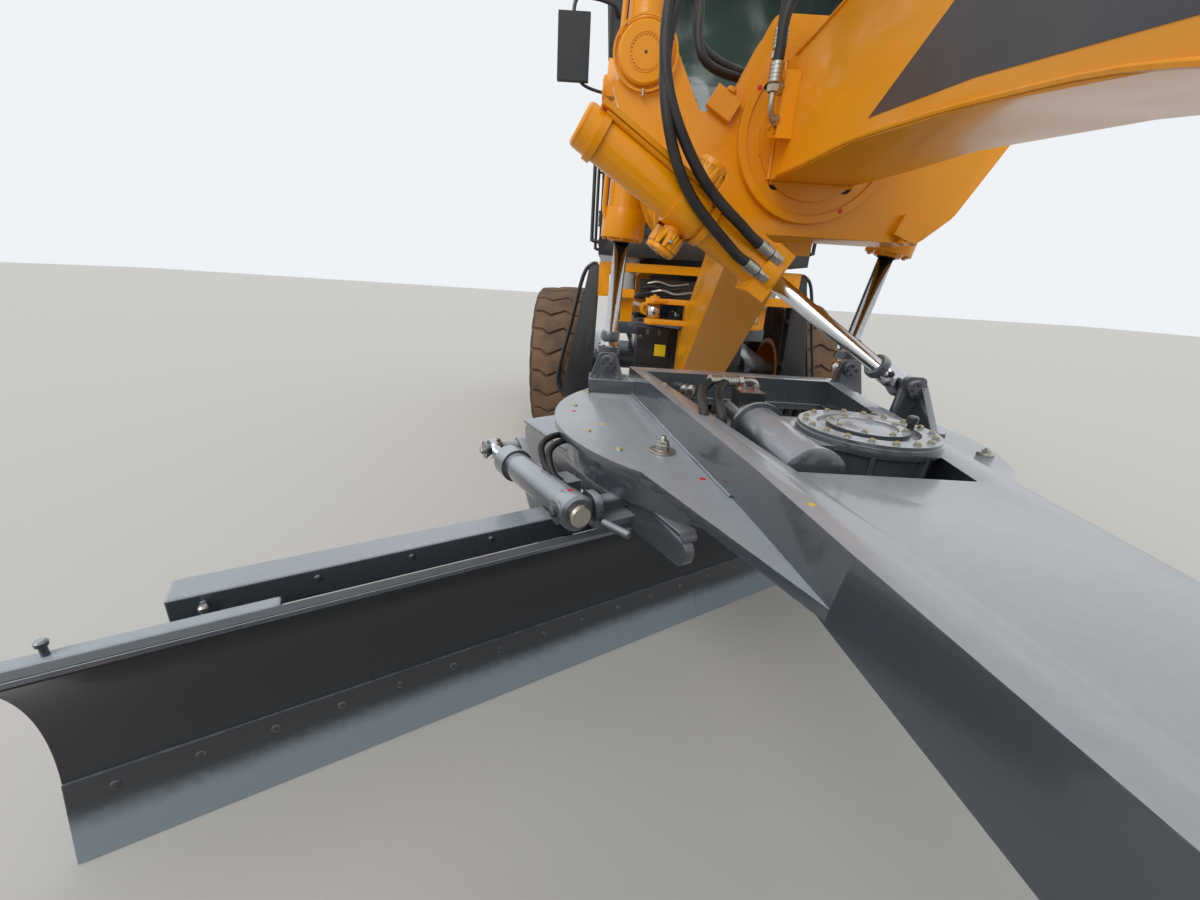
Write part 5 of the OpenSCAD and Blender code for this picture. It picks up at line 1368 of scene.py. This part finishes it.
class GRADER_OT_front_axle(bpy.types.Operator):
    """Kingpin caps, pivot cover, steering hoses and tie-rod ends of the front axle."""
    bl_idname = "grader.front_axle"
    bl_label = "Front axle"

    def execute(self, context):
        hose = context.scene.grader_hardware.hose
        kingpin_x, steer_y, steer_z, tie_y = 800, 200, 655, 230
        axle = Stock("slate_paint")
        pivot = Vector((0, -250, 820))
        axle.lathe([(78, -2), (78, 10), (72, 14)], pivot, FORE, 48)
        axle.circle_of_bolts(pivot + FORE * 14, FORE, 58, 6, 9, "slate_paint")
        nipple(axle, pivot + FORE * 14, FORE)
        for s in SIDES.values():
            for x in (190, 440):
                port = s * (x + 17)
                axle.band(38, 43, 0, 34, (s * x, steer_y, steer_z), (s, 0, 0), 32)
                axle.box((port - 22, steer_y - 18, 686), (port + 22, steer_y + 18, 706))
                axle.lathe([(13, 0), (13, 14)], (port, steer_y, 706), UP, 6, "zinc")
            axle.band(19, 30, 0, 8, (s * 500, steer_y, steer_z), (s, 0, 0), 28, "seal_and_shade")
            for x in (300, 700):
                axle.lathe([(34, 0), (34, 6), (28, 12)], (s * x, 81, 676 + (700 - x) * 0.12), AFT, 28)
        axle.piece("front_axle_fittings", "front_body", 1.5)

        lines = Stock("black_plastic")
        for s in SIDES.values():
            for x, top in ((207, 60), (457, 100)):
                up_x = s * (146 + top / 6)
                start = Vector((s * x, steer_y, 720))
                rise = [(s * 175, 250, 950), (up_x, 300, 1110), (up_x, 420, 1210)]
                lines.hose(route(start, (0, 0, 0), (0, 4, 60), (-s * (x - 200) * 0.4, 30, 150)) + rise,
                           hose * 0.72)
            for z in (1050, 1170):
                lines.box((s * 143 - 14, 270, z), (s * 143 + 14, 300, z + 26))
        lines.piece("steering_hoses", "front_body")

        for name, s in SIDES.items():
            knuckle = Stock("black_plastic")
            at = Vector((s * kingpin_x, 0, 795))
            knuckle.lathe([(60, -4), (60, 8), (54, 12)], at, UP, 40, "slate_paint")
            knuckle.circle_of_bolts(at + UP * 11, UP, 44, 4, 9)
            nipple(knuckle, at + UP * 12, UP)
            # Brake line along the web
            knuckle.tube([(s * x, y, z) for x, y, z in ((868, -60, 800), (900, -66, 802), (922, -78, 780),
                                                        (932, -80, 720), (930, -76, 690))], 6, 10)
            knuckle.piece(f"knuckle_cap_{name}", f"knuckle_body_{name}", 1)
            rod = Stock("black_paint")
            rod.lathe([(24, 0), (24, 5), (18, 9)], (s * kingpin_x, steer_y, 677), UP, 28)
            rod.piece(f"steer_rod_cap_{name}", f"steer_rod_body_{name}", 1)
        tie = Stock("zinc")
        for s in SIDES.values():
            clamp = [(30, 0), (33, 8), (33, 60), (30, 68)]
            tie.lathe(clamp, (s * 640, tie_y, 527), (s, 0, 0), 8, "slate_paint")
            tie.lathe([(26, 0), (26, 5), (20, 8)], (s * kingpin_x, tie_y, 497), DOWN, 24)
        tie.piece("tie_rod_ends", "tie_body", 1)
        return {"FINISHED"}


class GRADER_OT_articulation(bpy.types.Operator):
    """Pin cap, cylinder pins, hoses over the joint and the boxes ahead of the frame's cross member."""
    bl_idname = "grader.articulation"
    bl_label = "Articulation"

    def execute(self, context):
        hose = context.scene.grader_hardware.hose
        pin = Stock("slate_paint")
        hitch = Vector((0, 4480, 1196))
        pin.lathe([(58, -2), (58, 10), (50, 15)], hitch, UP, 40)
        pin.circle_of_bolts(hitch + UP * 13, UP, 40, 6, 10)
        for s in SIDES.values():
            base = Vector((s * 400, 5240, 1332))
            pin.lathe([(30, -1), (30, 8), (25, 12)], base, UP, 28)
            pin.bolt(base + UP * 11, UP, 11)
        # Cross block that takes the hoses
        pin.box((-165, 4870, 1164), (165, 4940, 1224), finish="black_paint")
        for x in (-130, 130):
            pin.bolt((x, 4905, 1224), UP, 12)
        pin.piece("articulation_caps", "rear_body", 1.5)

        ears = Stock("yellow_paint")
        for s in SIDES.values():
            at = Vector((s * 340, 4320, 1334))
            ears.lathe([(34, -1), (34, 9), (29, 13)], at, UP, 30)
            ears.bolt(at + UP * 12, UP, 12, "yellow_paint")
            ears.lathe([(34, -1), (34, 8)], at + DOWN * 168, DOWN, 30)
            ears.box((s * 300 - 30, 4226, 1312), (s * 300 + 30, 4246, 1333))
            nipple(ears, at + Vector((0, -62, -17)), FORE)
        ears.box((-96, 4284, 1224), (96, 4302, 1300), finish="black_paint")
        ears.piece("articulation_ears", "front_body", 1.5)

        lines = Stock()
        for x in (-60, -20, 20, 60):
            lines.hose([(x * wide, y, z) for wide, y, z in (
                (1, 4302, 1262), (1, 4370, 1290), (1.1, 4480, 1322), (1.3, 4600, 1318), (1.6, 4730, 1268),
                (1.8, 4810, 1216), (1.8, 4870, 1196))], hose * 0.85)
        joined = lines.piece("articulation_hoses", None)
        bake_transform(joined)

        boxes = Stock("black_paint")
        face = 4655
        boxes.box((-418, face, 775), (-178, 4808, 1108))
        boxes.box((-424, face - 5, 1070), (-172, 4812, 1112))
        boxes.lathe([(16, 0), (16, 6), (12, 9)], (-390, face, 1040), FORE, 20, "steel")
        for x in (-340, -250):
            boxes.box((x - 12, face - 11, 1056), (x + 12, face + 1, 1100), finish="steel")
        boxes.box((190, 4700, 790), (400, 4808, 990))
        boxes.lathe([(36, 0), (36, 60), (30, 70)], (330, 4762, 990), UP, 28, "black_plastic")
        boxes.lathe([(30, 0), (30, 26), (24, 32)], (392, 4808, 1052), FORE, 24, "mark_red")
        boxes.piece("frame_boxes", "rear_body", 4)
        label = Stock("label")
        label.prism([(-276, 900), (-190, 896), (-190, 984), (-276, 988)], 0, 1.2,
                    Matrix.Translation((0, face, 0)) @ ALONG)
        label.piece("frame_box_label", "rear_body")

        mounts = Stock("mount_rubber")
        for s in SIDES.values():
            at = Vector((s * 535, 4680, 1381))
            mounts.lathe([(58, 0), (62, 20), (56, 60), (62, 98), (58, 118)], at, UP, 36)
            mounts.band(20, 60, -1, 5, at, UP, 36, "zinc")
            mounts.bolt(at + DOWN * 62, DOWN, 15)
            for y in (4680, 5840):
                mounts.hoop([(50, 4), (58, 4), (60, 20), (58, 36), (50, 36)], (s * 500, y, 1560), UP, 36)
            for y in (4640, 4720):
                mounts.bolt((s * 720, y, 1440), (s, 0, 0), 11, "yellow_paint")
        mounts.piece("cab_mounts", "rear_body", 1)

        # Tubes and cables under the cab's front, left of the column and right of it
        under = Stock("black_paint")
        for i, (x, z) in enumerate(((-290, 1395), (-250, 1430), (-300, 1350), (-215, 1370), (230, 1410))):
            under.tube([(x - 120, 4690, z), (x - 40, 4682 - 6 * i, z + 14), (x + 60, 4690, z - 8),
                        (x + 190, 4700, z + 10)], 11 - i % 3, 10, finish="zinc" if i % 2 else "hose_rubber")
        under.box((-430, 4700, 1330), (430, 4716, 1460))
        under.piece("cab_front_lines", "rear_body", 1)
        return {"FINISHED"}


class GRADER_OT_cab(bpy.types.Operator):
    """Seals, wipers, mirrors, rails, lamps and controls of the cab."""
    bl_idname = "grader.cab"
    bl_label = "Cab fittings"

    @staticmethod
    def mirror(name, s):
        """Mirror on its two bars."""
        out = s * 960
        mirror = Stock("black_paint")
        mirror.tube([(s * 700, 4556, 2960), (s * 740, 4500, 2990), (s * 860, 4440, 2990),
                     (out, 4420, 2960), (out, 4420, 2700)], 11)
        mirror.tube([(s * 700, 4556, 2560), (s * 780, 4480, 2540), (s * 900, 4430, 2560),
                     (out, 4420, 2640)], 9)
        mirror.box((out - 95, 4380, 2560), (out + 95, 4416, 2900), finish="black_plastic")
        mirror.box((out - 84, 4415, 2574), (out + 84, 4419, 2886), finish="mirror_glass")
        mirror.piece(f"cab_mirror_{name}", "rear_body", 10, 3)

    @staticmethod
    def rails(name, s):
        """Handrails beside the door, and those of the ladder down from the platform."""
        rails = Stock("black_paint")
        low, top, near, bend = 1690, 2500, s * 752, s * 800
        for y in (4655, 5478):
            rails.tube([(near, y, low), (bend, y, low + 12), (s * 806, y, low + 70), (s * 806, y, top - 60),
                        (bend, y, top - 6), (near, y, top)], 13, 14)
            for z in (low, top):
                rails.lathe([(26, 0), (26, 6)], (s * 750, y, z), (s, 0, 0), 24)
        for y in (4692, 4808):
            rails.tube([(s * 1006, y, 560), (s * 1030, y, 700), (s * 940, y, 1100), (s * 862, y, 1450),
                        (bend, y, 1540), (near, y, 1546)], 12)
        rails.piece(f"cab_rails_{name}", "rear_body")

    @staticmethod
    def door(name, s):
        """Seal, hinge covers, lock and arm rest of a door."""
        door = Stock("black_plastic")
        face = s * 750
        pane_frame(door, (4778, 1762), (5392, 3072), 18, 6, side_frame(s, 750, 6), "seal_and_shade")
        for z in (2130, 2365):
            door.lathe([(20, 0), (20, 5), (14, 8)], (face, 4770, z), (s, 0, 0), 24, "black_paint")
        door.box((s * 752 - 3, 4728, 2120), (s * 752 + 6, 4760, 2230))
        door.lathe([(11, 0), (11, 5)], (s * 757, 4744, 2190), (s, 0, 0), 20, "zinc")
        near, far = span(s, 663, 703)
        door.box((near, 4850, 2150), (far, 5250, 2186))
        door.piece(f"door_fittings_{name}", f"door_body_{name}", 1.5)

    def execute(self, context):
        front, rear, side = 4572, 5977, 738
        seals = Stock("seal_and_shade")
        pane_frame(seals, (-662, 1718), (662, 3142), 24, 9, Matrix.Translation((0, front, 0)) @ ALONG)
        pane_frame(seals, (-642, 2018), (642, 3142), 24, 9, Matrix.Translation((0, rear, 0)) @ ALONG)
        for s in SIDES.values():
            pane_frame(seals, (5552, 2022), (5888, 3138), 20, 9, side_frame(s, side, 9))
        seals.piece("cab_window_seals", "rear_body", 2)

        wipers = Stock("black_paint")
        for x in (-330, 330):
            wipers.lathe([(26, 0), (24, 26), (18, 34)], (x, 4560, 1668), FORE, 28, "black_plastic")
            wipers.rod((x, 4532, 1668), (x + 190, 4548, 2230), 7, 10)
            wipers.box((x + 150, 4549, 1960), (x + 160, 4562, 2560))
            wipers.box((x + 152, 4561, 1960), (x + 158, 4570, 2560), finish="seal_and_shade")
            wipers.rod((x + 156, 4552, 2230), (x + 190, 4548, 2230), 6, 10)
        for x in (-430, 430):
            wipers.box((x - 70, 4444, 3214), (x + 70, 4500, 3236), finish="black_plastic")
        wipers.piece("cab_wipers", "rear_body", 1)

        lamps = Stock("black_plastic")
        for places, shell, lens in (((-560, -330, 330, 560), (4432, 4486), (4428, 4434)),
                                    ((-560, 560), (5990, 6006), (6004, 6009))):
            for x in places:
                lamps.box((x - 62, shell[0], 3150), (x + 62, shell[1], 3226))
                lamps.box((x - 54, lens[0], 3158), (x + 54, lens[1], 3218), finish="lamp")
        lamps.piece("cab_lamps", "rear_body", 2)

        for name, s in SIDES.items():
            self.mirror(name, s)
            self.rails(name, s)
            self.door(name, s)

        inside = Stock("black_plastic")
        # Floor mat and pedals
        inside.box((-660, 4640, 1655.5), (660, 5880, 1662))
        for x in (-150, 150):
            inside.box((x - 50, 4790, 1664), (x + 50, 4900, 1690))
        inside.lathe([(46, 12), (44, 24), (36, 30)], (0, 4920, 2400), aim(spin(-22, "X"), UP))
        # Lever banks beside the steering column
        for s in SIDES.values():
            bank, post, desk = s * 150, s * 78, s * 430
            inside.box((bank - 60, 4830, 2180), (bank + 60, 4900, 2250))
            inside.box((post - 20, 4850, 2140), (post + 20, 4890, 2200))
            for x in (105, 133, 161, 189):
                inside.rod((s * x, 4866, 2248), (s * x, 4900, 2390), 4.5, 10, finish="steel")
                inside.ball((s * x, 4903, 2402), 14, 14, 8)
            inside.box((desk - 70, 5080, 1662), (desk + 70, 5560, 2200))
            inside.box((desk - 66, 5100, 2201), (desk + 66, 5540, 2240), finish="seat")
            inside.rod((desk, 5120, 2236), (desk, 5090, 2330), 12, 14, 3)
        # Gauge panel
        inside.box((-90, 4816, 2190), (90, 4850, 2330))
        inside.box((-76, 4849, 2206), (76, 4852, 2314), finish="mirror_glass")
        inside.piece("cab_controls", "rear_body", 4)
        return {"FINISHED"}


class GRADER_OT_seat(bpy.types.Operator):
    """Operator's seat: a crowned cushion and back with piping and sewn channels."""
    bl_idname = "grader.seat"
    bl_label = "Seat"

    @staticmethod
    def pad(name, half, thick, lean, middle_at, channels):
        """Closed crowned form: sides pull in between the corners, and channels are sewn across."""
        mesh = bmesh.new()
        bmesh.ops.create_grid(mesh, x_segments=36, y_segments=36, size=1)
        extruded = bmesh.ops.extrude_face_region(mesh, geom=mesh.faces[:])
        for v in (e for e in extruded["geom"] if isinstance(e, bmesh.types.BMVert)):
            v.co.z = 1
        upright = [e for e in mesh.edges if e.verts[0].co.z != e.verts[1].co.z]
        bmesh.ops.subdivide_edges(mesh, edges=upright, cuts=5)
        for v in mesh.verts:
            u, w, t = v.co.x, v.co.y, v.co.z * 2 - 1
            edge = max(abs(u), abs(w))
            crown = (1 - abs(u) ** 5) * (1 - abs(w) ** 5)
            tuck = 1 - 0.035 * (1 - min(abs(u), abs(w)) ** 2) * (edge > 0.999)
            side = 1 - 0.06 * abs(t) ** 3 * edge ** 6
            sewn = sum(math.exp(-((w - c) / 0.035) ** 2) for c in channels) * (1 - abs(u) ** 8)
            depth = thick / 2 * (0.62 + 0.38 * crown) - (7 * sewn if t > 0 else 0)
            v.co = Vector((u * half[0] * tuck * side, w * half[1] * tuck * side, t * depth))
        mesh.transform(MACHINE @ Matrix.Translation(middle_at) @ spin(lean, "X"))
        bmesh.ops.recalc_face_normals(mesh, faces=mesh.faces)
        data = bpy.data.meshes.new(name)
        mesh.to_mesh(data)
        mesh.free()
        data.materials.append(FINISHES["seat"])
        data.shade_smooth()
        made = new_object(name, data)
        smooth = made.modifiers.new("smooth", "SUBSURF")
        smooth.levels = smooth.render_levels = 1
        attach(made, "rear_body")
        return made

    def execute(self, context):
        cushion = self.pad("seat_pad", (246, 242), 124, -1.5, (0, 5366, 2086), (-0.45, 0.0, 0.45))
        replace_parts(cushion, "seat_cushion")
        self.pad("seat_back", (236, 350), 112, 82.5, (0, 5668, 2428), (-0.5, -0.17, 0.17, 0.5))
        trim = Stock("black_plastic")
        trim.box((-200, 5180, 2018), (200, 5560, 2024))
        for s in SIDES.values():
            trim.box((s * 252 - 14, 5150, 2040), (s * 252 + 14, 5620, 2064))
            trim.box((s * 262 - 26, 5330, 2235), (s * 262 + 26, 5600, 2272), finish="seat")
        trim.lathe([(26, 0), (26, 60), (22, 66)], (0, 5180, 1990), FORE, 6)
        trim.piece("seat_trim", "rear_body", 6, 3)
        return {"FINISHED"}


class GRADER_OT_hood(bpy.types.Operator):
    """Louvre blades, grille mesh, door strips, caps, exhaust flap and lamps of the hood and tail."""
    bl_idname = "grader.hood"
    bl_label = "Hood and tail"

    def execute(self, context):
        hood = Stock("black_paint")
        for s in SIDES.values():
            # Louvre blades
            a, b = span(s, 500, 524)
            for z in range(1320, 1737, 52):
                hood.skin([[Vector((x, y, z + dz)) for x, dz in ((a, 8), (b, 26), (b, 30), (a, 12))]
                           for y in (6508, 7212)])
            # Side doors: raised edge strips, hinges and latches
            for y0, y1 in ((6120, 6480), (6492, 7228), (7240, 7560)):
                pane_frame(hood, (y0, 1170), (y1, 1880), 12, 3, side_frame(s, 530, 3), "yellow_paint")
                for y in (y0 + 60, y1 - 60):
                    hood.rod((s * 536, y - 34, 1884), (s * 536, y + 34, 1884), 8, 14, finish="yellow_paint")
                near, far = span(s, 527, 542)
                latch = (y0 + y1) / 2
                hood.box((near, latch - 30, 1200), (far, latch + 30, 1240), finish="black_plastic")
        # Grille mesh behind the rear openings
        for x in range(-400, 401, 40):
            hood.rod((x, 7782, 1250), (x, 7782, 1700), 3, 6)
        hood.box((-412, 7758, 1250), (412, 7764, 1706))
        hood.piece("hood_doors", "rear_body", 1)

        top = Stock("black_plastic")
        flue = Vector((-220, 6350, 0))
        for z in (2240, 2420):
            top.band(70, 74, z, z + 26, flue, UP, 40, finish="steel")
        top.lathe([(52, 2790), (52, 2794), (50, 2797)], flue + Vector((0, 4, 0)), UP, 32, finish="steel")
        top.lathe([(98, 2160), (98, 2168), (86, 2176)], flue, UP, 40, finish="black_paint")
        # Air pre-cleaner, coolant and fuel caps
        intake = Vector((230, 6420, 0))
        bowl = [(46, 2150), (46, 2330), (60, 2340), (128, 2352), (134, 2372), (134, 2452), (120, 2476),
                (60, 2492)]
        top.lathe(bowl, intake, UP, 48)
        for a in ring(24):
            vane = Matrix.Translation(intake) @ Matrix.Rotation(a, 4, "Z")
            top.box((132, -4, 2376), (138, 4, 2448), vane)
        top.lathe([(44, 2146), (44, 2172), (40, 2178)], (0, 6760, 0), UP, 32)
        handle = [(-60, 6620, 2136), (-60, 6620, 2184), (60, 6620, 2184), (60, 6620, 2136)]
        top.tube(handle, 9, finish="black_paint")
        top.piece("hood_top", "rear_body", 1.5)

        tail = Stock("steel")
        for s in SIDES.values():
            for x, finish in ((430, "lens_red"), (480, "lens_red"), (530, "lens_amber")):
                tail.lathe([(21, -6), (21, -1.5), (17, -0.3)], (s * x, 8006, 1105), AFT, 28, finish)
            rail = [(588, 7820, 1236), (590, 7830, 1330), (590, 7950, 1330), (588, 7960, 1236)]
            tail.tube([(s * x, y, z) for x, y, z in rail], 12, finish="black_paint")
            tail.circle_of_bolts((s * 250, 7979, 930), AFT, 60, 4, 10, "slate_paint")
        tail.lathe([(26, 0), (26, 150)], (0, 7910, 625), UP, 24)
        tail.lathe([(36, 0), (36, 12), (30, 18)], (0, 7910, 752), UP, 28)
        tail.piece("tail_fittings", "rear_body", 1)

        drive = Stock("steel")
        for s in SIDES.values():
            for y, z, r, count in ((5750, 672, 62, 6), (6280, 700, 120, 10), (6810, 672, 62, 6)):
                drive.lathe([(r, -2), (r, 9), (r - 5, 13)], (s * 830, y, z), (s, 0, 0), 44, "slate_paint")
                drive.circle_of_bolts((s * 842, y, z), (s, 0, 0), r * 0.8, count, 10)
            drive.lathe([(15, 0), (15, 12)], (s * 830, 6280, 560), (s, 0, 0), 6)
            # Non-slip ladder treads
            for wide, z in ((215, 561), (153, 891), (91, 1221)):
                for k in range(7):
                    x = s * (760 + wide * k / 6)
                    drive.box((x - 5, 4700, z), (x + 5, 4800, z + 5))
        drive.piece("tandem_fittings", "rear_body", 1)
        return {"FINISHED"}


class GRADER_OT_head_lamps(bpy.types.Operator):
    """Lenses, bezels, guards and wiring of the head lamps, and trim of the nose."""
    bl_idname = "grader.head_lamps"
    bl_label = "Head lamps"

    def execute(self, context):
        lamps = Stock("black_plastic")
        for s in SIDES.values():
            at = Vector((s * 120, -700, 1740))
            lamps.hoop([(80, -2), (97, -2), (97, 10), (90, 14), (80, 8)], at, FORE, 48)
            lamps.lathe([(80, 0), (78, 5), (60, 11), (30, 15), (8, 16)], at, FORE, 48, finish="lamp")
            lamps.lathe([(70, 0), (60, 24), (30, 34)], at + Vector((0, 100, 0)), AFT, 36)
            lamps.tube(route(at, (0, 130, 0), (-s * 10, 160, -40), (-s * 30, 130, -140), (-s * 35, 90, -260),
                             (-s * 35, 60, -360)), 7, 10, finish="hose_rubber")
            amber = Vector((s * 205, -632, 1622))
            lamps.box(amber - Vector((36, 18, 24)), amber + Vector((36, 14, 24)))
            lamps.box(amber - Vector((30, 24, 19)), amber - Vector((-30, 17, -19)), finish="lens_amber")
            lamps.bolt((s * 85, -650, 1620), FORE, 10, "black_paint")
        lamps.piece("head_lamp_lenses", "front_body", 1)

        nose = Stock("yellow_paint")
        for s in SIDES.values():
            gusset = [(-858, 1000), (-705, 1000), (-705, 1300), (-858, 1150)]
            nose.prism(gusset, *span(s, 140.5, 150), ACROSS)
            nose.circle_of_bolts((s * 135, 480, 950), (s, 0, 0), 27, 4, 7, "slate_paint")
        nose.piece("nose_gussets", "front_body", 2)
        return {"FINISHED"}


CLASSES = [
    GraderPaint, GraderHardware, GraderView, GRADER_OT_stage, GRADER_OT_finishes, GRADER_OT_saddle,
    GRADER_OT_beam, GRADER_OT_swing_cylinder, GRADER_OT_lift_cylinders, GRADER_OT_drawbar,
    GRADER_OT_circle_drive, GRADER_OT_circle, GRADER_OT_tip_cylinder, GRADER_OT_blade, GRADER_OT_wheels,
    GRADER_OT_front_axle, GRADER_OT_articulation, GRADER_OT_cab, GRADER_OT_seat, GRADER_OT_hood,
    GRADER_OT_head_lamps,
]


class GRADER_PT_panel(bpy.types.Panel):
    """Settings and steps of the grader's dressing."""
    bl_idname = "GRADER_PT_panel"
    bl_label = "Motor grader"
    bl_space_type = "VIEW_3D"
    bl_region_type = "UI"
    bl_category = "Grader"

    def draw(self, context):
        scene = context.scene
        for group in (scene.grader_paint, scene.grader_hardware, scene.grader_view):
            box = self.layout.box()
            for key in group.bl_rna.properties.keys():
                if key not in ("rna_type", "name"):
                    box.prop(group, key)
        for step in STEPS:
            self.layout.operator(step.bl_idname)


STEPS = [c for c in CLASSES if issubclass(c, bpy.types.Operator)]


def register():
    for c in CLASSES + [GRADER_PT_panel]:
        bpy.utils.register_class(c)
    bpy.types.Scene.grader_paint = bpy.props.PointerProperty(type=GraderPaint)
    bpy.types.Scene.grader_hardware = bpy.props.PointerProperty(type=GraderHardware)
    bpy.types.Scene.grader_view = bpy.props.PointerProperty(type=GraderView)


def unregister():
    del bpy.types.Scene.grader_paint
    del bpy.types.Scene.grader_hardware
    del bpy.types.Scene.grader_view
    for c in reversed(CLASSES + [GRADER_PT_panel]):
        bpy.utils.unregister_class(c)


def main():
    """Builds the whole scene."""
    register()
    mix_finishes(bpy.context.scene.grader_paint)
    for step in STEPS:
        group, name = step.bl_idname.split(".")
        getattr(getattr(bpy.ops, group), name)()


if __name__ == "__main__":
    main()
